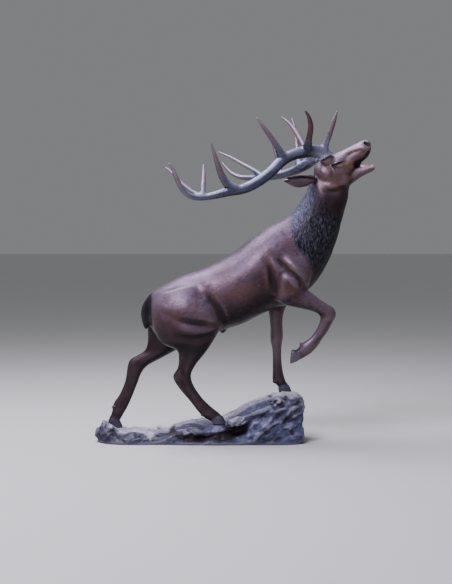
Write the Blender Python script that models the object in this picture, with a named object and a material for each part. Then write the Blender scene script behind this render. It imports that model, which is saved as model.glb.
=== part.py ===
"""A roaring bronze stag, life size, on a cast rock base.

The stag faces +X and stands on the rock with three hooves, its right foreleg raised. The
origin lies under the middle of the base, on its underside. All lengths are in metres.
Stations of the figure are written at DRAWN_HEIGHT, and the whole figure follows
FIGURE_HEIGHT from there, so pose and carving are shares of its height.
"""

import math

import bmesh
import bpy
import numpy as np
from mathutils import Matrix, Vector, noise

# Driving dimensions
FIGURE_HEIGHT = 2.05
DRAWN_HEIGHT = 2.05
REAR_LEDGE = 0.062
FRONT_LEDGE = 0.078
BASE_DEPTH = 0.46
BLOCK_RISE = 0.022
SEAT_GAP = 0.0003
PEDICLE_RADIUS = 0.036
BURR_RADIUS = 0.046
PAD_MARGIN = 0.004
PAD_ROUNDING = 1.22
PAD_SPREAD = 1.1
SOLE_SINK = 0.02

# How finely the cast surfaces are built
STAG_VOXEL = 0.010
ROCK_VOXEL = 0.014
STAG_TRIANGLES = 5500
ROCK_TRIANGLES = 1200
BODY_SIDES = 20
ANTLER_SIDES = 8

FIGURE = FIGURE_HEIGHT / DRAWN_HEIGHT

# Stations of the body, each with a name, its upper or front point (x, z), its lower or rear
# point (x, z), the y of its centre and its half width in y
TORSO = (
    ("tail root", (-0.325, 0.905), (-0.330, 0.745), 0, 0.070),
    ("pin bones", (-0.290, 0.945), (-0.275, 0.660), 0, 0.135),
    ("croup", (-0.220, 0.985), (-0.155, 0.635), 0, 0.170),
    ("hips", (-0.120, 1.035), (-0.045, 0.645), 0, 0.182),
    ("loin", (-0.005, 1.075), (0.065, 0.670), 0, 0.182),
    ("flank", (0.110, 1.130), (0.155, 0.700), 0, 0.195),
    ("barrel", (0.225, 1.202), (0.265, 0.735), 0, 0.210),
    ("ribs", (0.315, 1.273), (0.355, 0.780), 0, 0.212),
    ("girth", (0.400, 1.330), (0.450, 0.827), 0, 0.200),
    ("withers", (0.465, 1.365), (0.560, 0.860), 0, 0.182),
    ("shoulder point", (0.527, 1.393), (0.645, 0.920), 0, 0.160),
    ("breast", (0.596, 1.400), (0.710, 0.985), 0, 0.125),
    ("breastbone", (0.670, 1.345), (0.750, 1.072), 0, 0.080),
)
NECK = (
    ("root", (0.445, 1.310), (0.660, 0.947), 0, 0.150),
    ("crest foot", (0.515, 1.388), (0.735, 1.016), 0, 0.158),
    ("lower", (0.567, 1.430), (0.803, 1.138), 0, 0.152),
    ("middle", (0.608, 1.481), (0.850, 1.263), 0, 0.142),
    ("upper", (0.640, 1.530), (0.880, 1.379), 0, 0.130),
    ("throat", (0.665, 1.577), (0.905, 1.467), 0, 0.118),
    ("nape", (0.683, 1.627), (0.922, 1.533), 0, 0.105),
    ("poll", (0.709, 1.680), (0.926, 1.599), 0, 0.090),
)
HEAD = (
    ("skull back", (0.702, 1.711), (0.727, 1.624), 0, 0.055),
    ("burrs", (0.730, 1.746), (0.758, 1.573), -0.004, 0.082),
    ("cheek", (0.770, 1.774), (0.814, 1.542), -0.010, 0.094),
    ("brow", (0.814, 1.792), (0.870, 1.554), -0.015, 0.095),
    ("eye", (0.851, 1.806), (0.914, 1.595), -0.020, 0.086),
    ("bridge", (0.891, 1.823), (0.944, 1.654), -0.025, 0.070),
    ("nasal", (0.928, 1.841), (0.966, 1.703), -0.030, 0.058),
    ("muzzle root", (0.965, 1.859), (0.990, 1.734), -0.035, 0.053),
    ("muzzle", (1.002, 1.878), (1.018, 1.756), -0.040, 0.052),
    ("nostrils", (1.033, 1.884), (1.039, 1.778), -0.044, 0.048),
    ("nose", (1.054, 1.865), (1.056, 1.812), -0.048, 0.036),
)
JAW = (
    ("hinge", (0.858, 1.686), (0.858, 1.554), -0.014, 0.072),
    ("angle", (0.907, 1.704), (0.913, 1.585), -0.022, 0.058),
    ("bar", (0.950, 1.712), (0.956, 1.619), -0.030, 0.046),
    ("chin groove", (0.993, 1.716), (0.999, 1.652), -0.036, 0.038),
    ("lip", (1.036, 1.724), (1.039, 1.673), -0.042, 0.035),
    ("chin", (1.068, 1.727), (1.070, 1.688), -0.047, 0.028),
    ("chin tip", (1.084, 1.721), (1.081, 1.700), -0.050, 0.016),
)
RIGHT_HIND = (
    ("hip", (0.015, 0.993), (-0.265, 0.937), -0.080, 0.090),
    ("thigh", (0.076, 0.889), (-0.304, 0.852), -0.112, 0.108),
    ("low thigh", (0.120, 0.797), (-0.300, 0.742), -0.128, 0.106),
    ("stifle", (0.129, 0.730), (-0.250, 0.631), -0.132, 0.092),
    ("gaskin", (0.098, 0.668), (-0.152, 0.581), -0.130, 0.070),
    ("low gaskin", (0.039, 0.575), (-0.136, 0.532), -0.125, 0.048),
    ("hamstring", (-0.025, 0.494), (-0.143, 0.469), -0.120, 0.036),
    ("hock", (-0.059, 0.426), (-0.172, 0.414), -0.118, 0.036),
    ("below hock", (-0.044, 0.361), (-0.140, 0.348), -0.116, 0.028),
    ("cannon", (0.008, 0.283), (-0.069, 0.262), -0.114, 0.024),
    ("low cannon", (0.055, 0.235), (-0.023, 0.203), -0.113, 0.026),
    ("fetlock", (0.086, 0.209), (0.011, 0.166), -0.112, 0.033),
    ("pastern", (0.108, 0.192), (0.050, 0.141), -0.112, 0.030),
    ("coronet", (0.130, 0.172), (0.070, 0.132), -0.112, 0.036),
)
LEFT_HIND = (
    ("hip", (-0.008, 0.975), (-0.261, 0.924), 0.080, 0.090),
    ("thigh", (0.023, 0.847), (-0.323, 0.828), 0.112, 0.106),
    ("low thigh", (0.023, 0.738), (-0.343, 0.712), 0.128, 0.100),
    ("stifle", (-0.028, 0.636), (-0.343, 0.617), 0.130, 0.082),
    ("gaskin", (-0.136, 0.572), (-0.362, 0.556), 0.128, 0.060),
    ("low gaskin", (-0.251, 0.509), (-0.416, 0.522), 0.124, 0.045),
    ("hamstring", (-0.340, 0.461), (-0.454, 0.500), 0.120, 0.036),
    ("hock", (-0.381, 0.414), (-0.471, 0.459), 0.118, 0.036),
    ("below hock", (-0.406, 0.351), (-0.487, 0.363), 0.116, 0.028),
    ("cannon", (-0.441, 0.262), (-0.521, 0.281), 0.114, 0.024),
    ("low cannon", (-0.470, 0.198), (-0.559, 0.224), 0.113, 0.028),
    ("fetlock", (-0.492, 0.160), (-0.568, 0.186), 0.112, 0.033),
    ("pastern", (-0.510, 0.128), (-0.576, 0.151), 0.112, 0.030),
    ("coronet", (-0.522, 0.108), (-0.592, 0.122), 0.112, 0.036),
)
LEFT_FORE = (
    ("shoulder", (0.652, 1.120), (0.411, 1.120), 0.100, 0.080),
    ("arm", (0.628, 0.993), (0.386, 0.967), 0.122, 0.082),
    ("elbow", (0.564, 0.878), (0.405, 0.872), 0.120, 0.062),
    ("forearm", (0.529, 0.802), (0.426, 0.796), 0.115, 0.048),
    ("low forearm", (0.519, 0.739), (0.436, 0.720), 0.112, 0.040),
    ("knee top", (0.521, 0.682), (0.438, 0.669), 0.110, 0.036),
    ("knee", (0.520, 0.637), (0.440, 0.618), 0.110, 0.036),
    ("below knee", (0.511, 0.580), (0.451, 0.561), 0.110, 0.027),
    ("cannon", (0.511, 0.497), (0.454, 0.478), 0.110, 0.024),
    ("low cannon", (0.520, 0.424), (0.453, 0.415), 0.110, 0.028),
    ("fetlock", (0.532, 0.377), (0.454, 0.364), 0.110, 0.034),
    ("pastern", (0.544, 0.351), (0.481, 0.335), 0.110, 0.030),
    ("coronet", (0.560, 0.333), (0.490, 0.322), 0.110, 0.036),
)
RIGHT_FORE = (
    ("shoulder", (0.615, 1.186), (0.417, 1.148), -0.100, 0.075),
    ("arm", (0.675, 1.075), (0.440, 1.038), -0.132, 0.082),
    ("elbow", (0.675, 0.989), (0.446, 0.909), -0.142, 0.076),
    ("forearm root", (0.649, 0.966), (0.517, 0.860), -0.146, 0.062),
    ("forearm", (0.692, 0.934), (0.594, 0.839), -0.146, 0.054),
    ("low forearm", (0.742, 0.893), (0.662, 0.825), -0.142, 0.044),
    ("knee top", (0.785, 0.864), (0.708, 0.810), -0.138, 0.039),
    ("knee", (0.825, 0.838), (0.736, 0.791), -0.136, 0.038),
    ("knee front", (0.836, 0.794), (0.737, 0.767), -0.134, 0.038),
    ("below knee", (0.815, 0.751), (0.724, 0.733), -0.132, 0.031),
    ("cannon", (0.787, 0.696), (0.703, 0.691), -0.130, 0.026),
    ("mid cannon", (0.755, 0.652), (0.671, 0.653), -0.128, 0.025),
    ("low cannon", (0.727, 0.608), (0.641, 0.632), -0.126, 0.029),
    ("fetlock", (0.688, 0.564), (0.617, 0.613), -0.125, 0.034),
    ("pastern", (0.641, 0.533), (0.598, 0.585), -0.124, 0.031),
    ("coronet", (0.604, 0.514), (0.577, 0.582), -0.124, 0.036),
)
TAIL = (
    ("root", (-0.320, 0.928), (-0.282, 0.884), 0, 0.030),
    ("top", (-0.354, 0.884), (-0.301, 0.859), 0, 0.038),
    ("middle", (-0.376, 0.837), (-0.312, 0.827), 0, 0.042),
    ("low", (-0.381, 0.790), (-0.318, 0.784), 0, 0.040),
    ("brush", (-0.372, 0.740), (-0.323, 0.740), 0, 0.030),
    ("tip", (-0.356, 0.696), (-0.334, 0.696), 0, 0.014),
)
EAR = (
    ("root", (0.712, 1.666), (0.712, 1.610), 0.078, 0.024),
    ("cup", (0.645, 1.674), (0.657, 1.587), 0.122, 0.020),
    ("blade", (0.596, 1.672), (0.599, 1.584), 0.155, 0.015),
    ("narrow", (0.549, 1.661), (0.549, 1.609), 0.182, 0.012),
    ("tip", (0.506, 1.653), (0.506, 1.639), 0.205, 0.008),
)
SHEATH = (
    ("root", (0.110, 0.720), (0.180, 0.740), 0, 0.035),
    ("middle", (0.118, 0.700), (0.172, 0.712), 0, 0.030),
    ("tip", (0.124, 0.670), (0.150, 0.674), 0, 0.014),
)

# Each hoof goes from its coronet to its sole: upper or front points, rear points, y
HOOVES = {
    "left fore": ((0.562, 0.335), (0.488, 0.320), (0.582, 0.285), (0.492, 0.285), 0.110),
    "right hind": ((0.134, 0.172), (0.068, 0.134), (0.166, 0.115), (0.080, 0.115), -0.112),
    "left hind": ((-0.520, 0.108), (-0.594, 0.122), (-0.500, 0.066), (-0.598, 0.066), 0.112),
    "right fore": ((0.606, 0.512), (0.576, 0.584), (0.552, 0.493), (0.562, 0.583), -0.124),
}
STANDING_HOOVES = ("left fore", "right hind", "left hind")
# Middle of each pair of dewclaws, behind the fetlock
DEWCLAWS = {
    "left fore": (0.462, 0.110, 0.358),
    "right hind": (0.010, -0.112, 0.176),
    "left hind": (-0.570, 0.112, 0.200),
    "right fore": (0.620, -0.125, 0.618),
}
DEWCLAW_RADIUS = 0.012
DEWCLAW_OFFSET = 0.018
TOE_OFFSET = 0.019
TOE_HALF_WIDTH = 0.020

# Bony and muscular swellings, one on each side: centre and radii
SWELLINGS = {
    "shoulder blade": ((0.500, 0.120, 1.170), (0.080, 0.068, 0.150)),
    "triceps": ((0.566, 0.152, 1.000), (0.088, 0.066, 0.062)),
    "neck bulge": ((0.628, 0.112, 1.100), (0.066, 0.062, 0.110)),
    "haunch": ((-0.070, 0.130, 0.880), (0.160, 0.080, 0.150)),
    "hip point": ((0.055, 0.130, 0.975), (0.060, 0.040, 0.055)),
    "brow ridge": ((0.862, 0.062, 1.748), (0.045, 0.024, 0.024)),
    "eyeball": ((0.862, 0.074, 1.722), (0.026, 0.018, 0.020)),
    "cheek muscle": ((0.862, 0.055, 1.635), (0.062, 0.032, 0.060)),
}
HEAD_YAW = -0.020

# Antlers: centre line x, y, z and radius
RIGHT_SEAT = (0.774, -0.062, 1.772)
LEFT_SEAT = (0.766, 0.046, 1.772)
RIGHT_SEAT_TILT = (-0.45, -0.16, 0.88)
LEFT_SEAT_TILT = (-0.45, 0.22, 0.87)
PEDICLE_ROOT = 0.060
RIGHT_ANTLER = {
    "beam": (
        (0.762, -0.066, 1.794, 0.040), (0.728, -0.078, 1.806, 0.042),
        (0.664, -0.105, 1.806, 0.039), (0.601, -0.135, 1.792, 0.035),
        (0.538, -0.165, 1.769, 0.034), (0.488, -0.190, 1.733, 0.033),
        (0.438, -0.210, 1.681, 0.032), (0.376, -0.230, 1.630, 0.032),
        (0.303, -0.250, 1.586, 0.031), (0.242, -0.265, 1.564, 0.030),
        (0.169, -0.280, 1.550, 0.028), (0.090, -0.290, 1.529, 0.023),
        (0.018, -0.300, 1.516, 0.020), (-0.030, -0.310, 1.516, 0.019),
        (-0.076, -0.320, 1.534, 0.018), (-0.111, -0.330, 1.573, 0.017),
        (-0.141, -0.340, 1.633, 0.014), (-0.163, -0.345, 1.684, 0.010),
        (-0.183, -0.350, 1.720, 0.005),
    ),
    "brow tine": (
        (0.756, -0.070, 1.800, 0.034), (0.774, -0.090, 1.855, 0.021),
        (0.796, -0.110, 1.918, 0.017), (0.819, -0.130, 1.989, 0.014),
        (0.838, -0.150, 2.050, 0.005),
    ),
    "bez tine": (
        (0.654, -0.115, 1.808, 0.034), (0.663, -0.190, 1.878, 0.020),
        (0.670, -0.240, 1.944, 0.017), (0.657, -0.270, 1.998, 0.012),
        (0.633, -0.285, 2.038, 0.005),
    ),
    "trez tine": (
        (0.507, -0.178, 1.751, 0.034), (0.469, -0.205, 1.825, 0.021),
        (0.425, -0.225, 1.889, 0.017), (0.382, -0.240, 1.947, 0.013),
        (0.343, -0.250, 1.998, 0.005),
    ),
    "royal tine": (
        (0.223, -0.268, 1.563, 0.030), (0.163, -0.292, 1.598, 0.026),
        (0.127, -0.315, 1.657, 0.021), (0.097, -0.345, 1.743, 0.014),
        (0.067, -0.370, 1.838, 0.005),
    ),
    "crown tine": (
        (0.018, -0.298, 1.520, 0.020), (0.018, -0.262, 1.576, 0.016),
        (0.021, -0.215, 1.642, 0.013), (0.020, -0.170, 1.722, 0.006),
    ),
    "rear crown tine": (
        (0.004, -0.300, 1.518, 0.018), (-0.062, -0.262, 1.562, 0.013),
        (-0.124, -0.230, 1.615, 0.011), (-0.174, -0.200, 1.671, 0.009),
        (-0.215, -0.180, 1.704, 0.005),
    ),
}
LEFT_ANTLER = {
    "beam": (
        (0.754, 0.054, 1.788, 0.040), (0.734, 0.072, 1.786, 0.040),
        (0.691, 0.110, 1.756, 0.036), (0.642, 0.150, 1.726, 0.033),
        (0.594, 0.200, 1.703, 0.029), (0.532, 0.260, 1.686, 0.027),
        (0.457, 0.330, 1.675, 0.026), (0.381, 0.400, 1.671, 0.023),
        (0.316, 0.450, 1.671, 0.019), (0.250, 0.500, 1.678, 0.016),
        (0.197, 0.540, 1.705, 0.013), (0.160, 0.565, 1.742, 0.010),
        (0.129, 0.580, 1.782, 0.005),
    ),
    "brow tine": (
        (0.712, 0.088, 1.764, 0.032), (0.654, 0.130, 1.853, 0.020),
        (0.612, 0.180, 1.937, 0.018), (0.570, 0.230, 2.003, 0.012),
        (0.515, 0.270, 2.055, 0.005),
    ),
    "bez tine": (
        (0.630, 0.165, 1.721, 0.030), (0.616, 0.215, 1.833, 0.016),
        (0.609, 0.255, 1.926, 0.014), (0.601, 0.285, 1.990, 0.010),
        (0.582, 0.305, 2.050, 0.005),
    ),
    "trez tine": (
        (0.500, 0.290, 1.681, 0.026), (0.495, 0.315, 1.770, 0.015),
        (0.478, 0.330, 1.840, 0.013), (0.452, 0.340, 1.915, 0.005),
    ),
    "royal tine": (
        (0.400, 0.382, 1.673, 0.023), (0.348, 0.420, 1.713, 0.016),
        (0.270, 0.480, 1.761, 0.013), (0.190, 0.530, 1.809, 0.010),
        (0.106, 0.580, 1.851, 0.005),
    ),
}

# Rock: shares of the base's length from its left end, of its height and of its half depth
ROCK_PROFILE = (
    ("left tip", 0.010, 0.22, 0.34),
    ("left slab", 0.040, 0.42, 0.62),
    ("left hoof", 0.100, 0.24, 0.84),
    ("slab", 0.200, 0.21, 0.90),
    ("slab end", 0.330, 0.21, 0.86),
    ("step", 0.380, 0.33, 0.90),
    ("middle", 0.470, 0.39, 0.94),
    ("mound", 0.570, 0.42, 0.98),
    ("rise", 0.640, 0.56, 0.94),
    ("shoulder", 0.720, 0.78, 0.92),
    ("block edge", 0.790, 0.91, 0.94),
    ("block", 0.860, 1.00, 0.92),
    ("block end", 0.940, 1.00, 0.84),
    ("right end", 0.985, 0.88, 0.66),
)
# The rock reaches past the rearmost and foremost standing soles by a ledge at each end
BASE_LEFT = HOOVES["left hind"][3][0] * FIGURE - REAR_LEDGE
BASE_RIGHT = HOOVES["left fore"][2][0] * FIGURE + FRONT_LEDGE
BASE_LENGTH = BASE_RIGHT - BASE_LEFT
# The block's top stands a little above the sole of the left forefoot, its highest hoof
BASE_HEIGHT = HOOVES["left fore"][2][1] * FIGURE + BLOCK_RISE
# Slant of the rock's ridges, their height, and how far apart they lie along, in y and across
RIDGE_SLOPE = (0.88, 0.47)
RIDGE_HEIGHT = 0.018
RIDGE_PITCH = (0.38, 0.18, 0.12)
# Hollows in the rock's front: shares of length and of height, radius and depth
ROCK_DENTS = (
    ("under the boulder", 0.640, 0.24, 0.075, 0.036),
    ("top pit", 0.855, 0.86, 0.034, 0.030),
    ("upper scoop", 0.790, 0.58, 0.055, 0.020),
    ("right scoop", 0.910, 0.50, 0.055, 0.022),
    ("slab scoop", 0.270, 0.34, 0.070, 0.016),
)
BOULDERS = (
    ("round boulder", 0.665, 0.40, -0.80, 0.064),
    ("left boulder", 0.050, 0.20, -0.30, 0.062),
    ("front slab", 0.450, 0.12, -0.66, 0.080),
    ("back slab", 0.300, 0.06, 0.72, 0.060),
    ("block foot", 0.900, 0.20, -0.52, 0.090),
    ("back foot", 0.830, 0.25, 0.60, 0.115),
)

# Carving: line in x and z, depth, half width, and the sides that carry it
BOTH = (-1, 1)
GROOVES = (
    ("behind the elbow", ((0.415, 1.125), (0.443, 1.033), (0.465, 0.924), (0.500, 0.885)), 0.015, 0.024, BOTH),
    ("blade to elbow", ((0.430, 1.185), (0.541, 1.071), (0.618, 0.983)), 0.011, 0.018, BOTH),
    ("over the triceps", ((0.490, 1.030), (0.545, 1.045), (0.610, 1.000)), 0.005, 0.014, BOTH),
    ("flank fold", ((0.037, 0.925), (0.092, 0.875), (0.119, 0.810), (0.124, 0.756), (0.110, 0.690)),
     0.013, 0.022, BOTH),
    ("above the stifle line", ((-0.175, 0.765), (-0.070, 0.752), (0.070, 0.748)), 0.006, 0.012, (-1,)),
    ("below the stifle line", ((-0.130, 0.680), (-0.040, 0.672), (0.075, 0.700)), 0.009, 0.018, (-1,)),
    ("left thigh", ((-0.160, 0.745), (-0.060, 0.700), (0.080, 0.705)), 0.006, 0.020, (1,)),
    ("gaskin", ((-0.080, 0.600), (-0.085, 0.550), (-0.110, 0.480)), 0.005, 0.012, (-1,)),
    ("left gaskin", ((-0.240, 0.600), (-0.330, 0.530), (-0.420, 0.470)), 0.006, 0.013, (1,)),
    ("behind the jaw", ((0.745, 1.640), (0.752, 1.590), (0.800, 1.552), (0.860, 1.548)), 0.006, 0.016, BOTH),
    ("face", ((0.890, 1.745), (0.940, 1.755), (0.990, 1.790)), 0.005, 0.014, BOTH),
    ("nostril", ((1.022, 1.862), (1.034, 1.868)), 0.010, 0.012, BOTH),
    ("ear hollow", ((0.655, 1.632), (0.600, 1.632), (0.545, 1.640)), 0.010, 0.020, BOTH),
    ("beside the tail", ((-0.296, 0.905), (-0.308, 0.860), (-0.305, 0.783), (-0.319, 0.715)), 0.012, 0.010, BOTH),
)
# The mane starts ahead of one border and below the other, and thins out above the breast
MANE_BORDER = (
    (0.677, 0.940), (0.693, 1.040), (0.666, 1.097), (0.610, 1.169),
    (0.555, 1.229), (0.533, 1.306), (0.535, 1.410), (0.560, 1.520),
)
JAW_BORDER = ((0.700, 1.680), (0.723, 1.594), (0.740, 1.550), (0.784, 1.483), (0.807, 1.446), (0.930, 1.420))
MANE_FOOT = (0.900, 0.980)
BORDER_FADE = (-0.015, 0.050)
LOCK_LENGTH = 0.150
LOCK_WIDTH = 0.048
LOCK_DEPTH = 0.007
LOCK_SWAY = 0.30
LOCK_BASE = 0.45
MANE_FLOW = (-0.28, -0.96)
MANE_AXIS_FOOT = 0.62
MANE_AXIS_LEAN = 0.22
MANE_AXIS_LEVEL = 1.0
MANE_RADIUS = 0.16
# The trunk, above and behind these ranges, is smoother than the limbs, head and ears
TRUNK_RISE = (0.60, 0.80)
TRUNK_FRONT = (0.66, 0.80)
LIMB_SOFTNESS = 0.15
TRUNK_SOFTNESS = 0.55


def clear_scene():
    for thing in list(bpy.data.objects):
        bpy.data.objects.remove(thing, do_unlink=True)


def bronze(name, colour, roughness, metallic=0.85):
    material = bpy.data.materials.new(name)
    material.use_nodes = True
    shader = material.node_tree.nodes["Principled BSDF"]
    shader.inputs["Base Color"].default_value = (*colour, 1)
    shader.inputs["Roughness"].default_value = roughness
    shader.inputs["Metallic"].default_value = metallic
    return material


def smooth_rows(rows, steps):
    """Rows of numbers on a Catmull-Rom curve through the given rows."""
    rows = np.array(rows, float)
    padded = np.vstack([2 * rows[0] - rows[1], rows, 2 * rows[-1] - rows[-2]])
    out = []
    for i in range(len(rows) - 1):
        p0, p1, p2, p3 = padded[i : i + 4]
        for step in range(steps):
            t = step / steps
            out.append(0.5 * (2 * p1 + (p2 - p0) * t + (2 * p0 - 5 * p1 + 4 * p2 - p3) * t**2
                              + (3 * p1 - p0 - 3 * p2 + p3) * t**3))
    out.append(rows[-1])
    return np.array(out)


def closed_rings(rings):
    """Points and faces of a tube through rings of equal count, with a cap point at each end."""
    count, sides = len(rings), len(rings[0])
    points = np.vstack([np.vstack(rings), rings[0].mean(0), rings[-1].mean(0)])
    faces = []
    for i in range(count - 1):
        for j in range(sides):
            k = (j + 1) % sides
            faces.append((i * sides + j, i * sides + k, (i + 1) * sides + k, (i + 1) * sides + j))
    start, end = count * sides, count * sides + 1
    last = (count - 1) * sides
    for j in range(sides):
        k = (j + 1) % sides
        faces.append((start, k, j))
        faces.append((end, last + j, last + k))
    return points, faces


def loft(stations, steps=4, sides=BODY_SIDES):
    """A closed body through the stations, with oval sections across Y."""
    rows = [(*a, *b, y, w) for _, a, b, y, w in stations]
    turns = np.linspace(0, 2 * math.pi, sides, endpoint=False)
    rings = []
    for ax, az, bx, bz, y, w in smooth_rows(rows, steps):
        middle = np.array([(ax + bx) / 2, y, (az + bz) / 2])
        along = np.array([(ax - bx) / 2, 0, (az - bz) / 2])
        rings.append([middle + along * math.cos(t) + np.array([0, w * math.sin(t), 0]) for t in turns])
    return closed_rings([np.array(ring) for ring in rings])


def tube(line, steps=4, sides=ANTLER_SIDES, tilt=None):
    """A closed round tube along x, y, z and radius rows. Its first ring can face along tilt."""
    rows = smooth_rows(line, steps)
    centres, radii = rows[:, :3], rows[:, 3]
    ways = np.gradient(centres, axis=0)
    if tilt is not None:
        ways[0] = tilt
    side = Vector((0, 1, 0))
    rings = []
    turns = np.linspace(0, 2 * math.pi, sides, endpoint=False)
    for centre, way, radius in zip(centres, ways, radii):
        way = Vector(way).normalized()
        side = (side - way * side.dot(way)).normalized()
        other = way.cross(side)
        ring = [Vector(centre) + (side * math.cos(t) + other * math.sin(t)) * float(radius) for t in turns]
        rings.append(np.array(ring))
    return closed_rings(rings)


def ellipsoid(centre, radii, sides=16):
    """A closed ball of three radii, as rings around its long axis X."""
    rings = []
    turns = np.linspace(0, 2 * math.pi, sides, endpoint=False)
    for step in range(1, sides // 2):
        lift = math.pi * step / (sides // 2)
        rings.append(np.array([[centre[0] - radii[0] * math.cos(lift),
                                centre[1] + radii[1] * math.sin(lift) * math.cos(t),
                                centre[2] + radii[2] * math.sin(lift) * math.sin(t)] for t in turns]))
    points, faces = closed_rings(rings)
    points[-2] = (centre[0] - radii[0], centre[1], centre[2])
    points[-1] = (centre[0] + radii[0], centre[1], centre[2])
    return points, faces


def mirrored(stations):
    return tuple((name, a, b, -y, w) for name, a, b, y, w in stations)


def link_object(name, mesh):
    thing = bpy.data.objects.new(name, mesh)
    bpy.context.scene.collection.objects.link(thing)
    return thing


def object_from(name, work):
    """An object that takes over the shape in a working mesh."""
    mesh = bpy.data.meshes.new(name)
    work.to_mesh(mesh)
    work.free()
    return link_object(name, mesh)


def add_object(name, shapes, scale=1.0):
    """One mesh object that holds the given closed shapes, each facing out."""
    points = []
    faces = []
    for shape_points, shape_faces in shapes:
        offset = len(points)
        points += [tuple(scale * np.array(p)) for p in shape_points]
        faces += [tuple(i + offset for i in face) for face in shape_faces]
    mesh = bpy.data.meshes.new(name)
    mesh.from_pydata(points, [], faces)
    work = bmesh.new()
    work.from_mesh(mesh)
    bmesh.ops.recalc_face_normals(work, faces=work.faces)
    work.to_mesh(mesh)
    work.free()
    return link_object(name, mesh)


def bake(thing, kind, **settings):
    """Adds one modifier, with its settings, and applies it to the mesh."""
    modifier = thing.modifiers.new(kind.title(), kind)
    for key, value in settings.items():
        setattr(modifier, key, value)
    graph = bpy.context.evaluated_depsgraph_get()
    mesh = bpy.data.meshes.new_from_object(thing.evaluated_get(graph))
    thing.modifiers.clear()
    old = thing.data
    thing.data = mesh
    bpy.data.meshes.remove(old)


def cut_away(thing, cutter):
    bake(thing, "BOOLEAN", operation="DIFFERENCE", object=cutter)
    bpy.data.objects.remove(cutter, do_unlink=True)


def thin_out(thing, triangles):
    """Triangulates the mesh and collapses its least needed edges down to a count."""
    bake(thing, "TRIANGULATE")
    bake(thing, "DECIMATE", ratio=min(1.0, triangles / len(thing.data.polygons)))


def mesh_points(mesh):
    points = np.empty(len(mesh.vertices) * 3)
    mesh.vertices.foreach_get("co", points)
    return points.reshape(-1, 3)


def mesh_normals(mesh):
    normals = np.empty(len(mesh.vertices) * 3)
    mesh.vertex_normals.foreach_get("vector", normals)
    return normals.reshape(-1, 3)


def set_points(mesh, points):
    mesh.vertices.foreach_set("co", points.ravel())
    mesh.update()


def relax(mesh, rounds, weight):
    """Moves each point towards the mean of its neighbours, by its own weight."""
    ends = np.empty(len(mesh.edges) * 2, int)
    mesh.edges.foreach_get("vertices", ends)
    first, second = ends.reshape(-1, 2).T
    points = mesh_points(mesh)
    count = np.bincount(ends, minlength=len(points))[:, None]
    for _ in range(rounds):
        total = np.zeros_like(points)
        for axis in range(3):
            total[:, axis] = np.bincount(first, points[second, axis], len(points))
            total[:, axis] += np.bincount(second, points[first, axis], len(points))
        points += (total / count - points) * weight[:, None]
    set_points(mesh, points)


def fade(value, low, high):
    """0 below low, 1 above high and smooth between."""
    t = np.clip((value - low) / (high - low), 0, 1)
    return t * t * (3 - 2 * t)


def line_distance(points, line):
    """Distance in the XZ plane from each point to a run of straight pieces."""
    flat = points[:, [0, 2]]
    best = np.full(len(flat), np.inf)
    for a, b in zip(np.array(line[:-1]), np.array(line[1:])):
        along = np.clip(((flat - a) @ (b - a)) / ((b - a) @ (b - a)), 0, 1)
        best = np.minimum(best, np.linalg.norm(flat - a - along[:, None] * (b - a), axis=1))
    return best


# Grooves between muscles: line in x and z, depth, half width and sides, as signs of y


def mane_weight(points):
    border = np.array(MANE_BORDER)
    jaw = np.array(JAW_BORDER)
    ahead = points[:, 0] - np.interp(points[:, 2], border[:, 1], border[:, 0])
    below = np.interp(points[:, 0], jaw[:, 0], jaw[:, 1]) - points[:, 2]
    return fade(ahead, *BORDER_FADE) * fade(below, *BORDER_FADE) * fade(points[:, 2], *MANE_FOOT)


def lock_relief(points, length, width):
    """Height from 0 to 1 of long pointed locks that overlap in staggered rows down the mane."""
    flow = np.array(MANE_FLOW)
    down = points[:, [0, 2]] @ flow
    axis_x = MANE_AXIS_FOOT + MANE_AXIS_LEAN * (points[:, 2] - MANE_AXIS_LEVEL)
    turn = np.arctan2(points[:, 1], points[:, 0] - axis_x)
    across = turn * MANE_RADIUS / width + LOCK_SWAY * np.sin(down / length * 5 + turn * 2.2)
    crest = 0.5 + 0.5 * np.cos(2 * math.pi * across)
    step = down / length + 0.5 * (np.round(across) % 2) - 0.25 * crest
    return crest * (LOCK_BASE + (1 - LOCK_BASE) * (step - np.floor(step)))


def carve_stag(thing, size):
    """Cuts the muscle grooves and raises the locks of the mane."""
    mesh = thing.data
    points = mesh_points(mesh) / size
    normals = mesh_normals(mesh)
    push = np.zeros(len(points))
    for _, line, depth, half_width, sides in GROOVES:
        cut = depth * np.exp(-((line_distance(points, line) / half_width) ** 2))
        for side in sides:
            push -= cut * np.clip(side * normals[:, 1], 0, 1) * (side * points[:, 1] > 0.02)
    push += mane_weight(points) * LOCK_DEPTH * (lock_relief(points, LOCK_LENGTH, LOCK_WIDTH) - 0.35)
    set_points(mesh, (points + normals * push[:, None]) * size)


def toe_shapes(front, rear, sole_front, sole_rear, y):
    """The two toes of a hoof, from the coronet past the sole, where a flat cut ends them."""
    shapes = []
    for side in (-1, 1):
        middle = y + side * TOE_OFFSET
        past_front = tuple(2 * s - c for s, c in zip(sole_front, front))
        past_rear = tuple(2 * s - c for s, c in zip(sole_rear, rear))
        low_front = tuple(s + 0.3 * (p - s) for s, p in zip(sole_front, past_front))
        low_rear = tuple(s + 0.3 * (p - s) for s, p in zip(sole_rear, past_rear))
        shapes.append(loft((
            ("coronet", front, rear, middle, TOE_HALF_WIDTH * 0.8),
            ("wall", sole_front, sole_rear, middle, TOE_HALF_WIDTH),
            ("sole", low_front, low_rear, middle, TOE_HALF_WIDTH),
        )))
    return shapes


def raised_toe_shapes(front, rear, sole_front, sole_rear, y):
    shapes = []
    for side in (-1, 1):
        middle = y + side * TOE_OFFSET
        shapes.append(loft((
            ("coronet", front, rear, middle, TOE_HALF_WIDTH * 0.8),
            ("sole", sole_front, sole_rear, middle, TOE_HALF_WIDTH),
        )))
    return shapes


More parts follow.
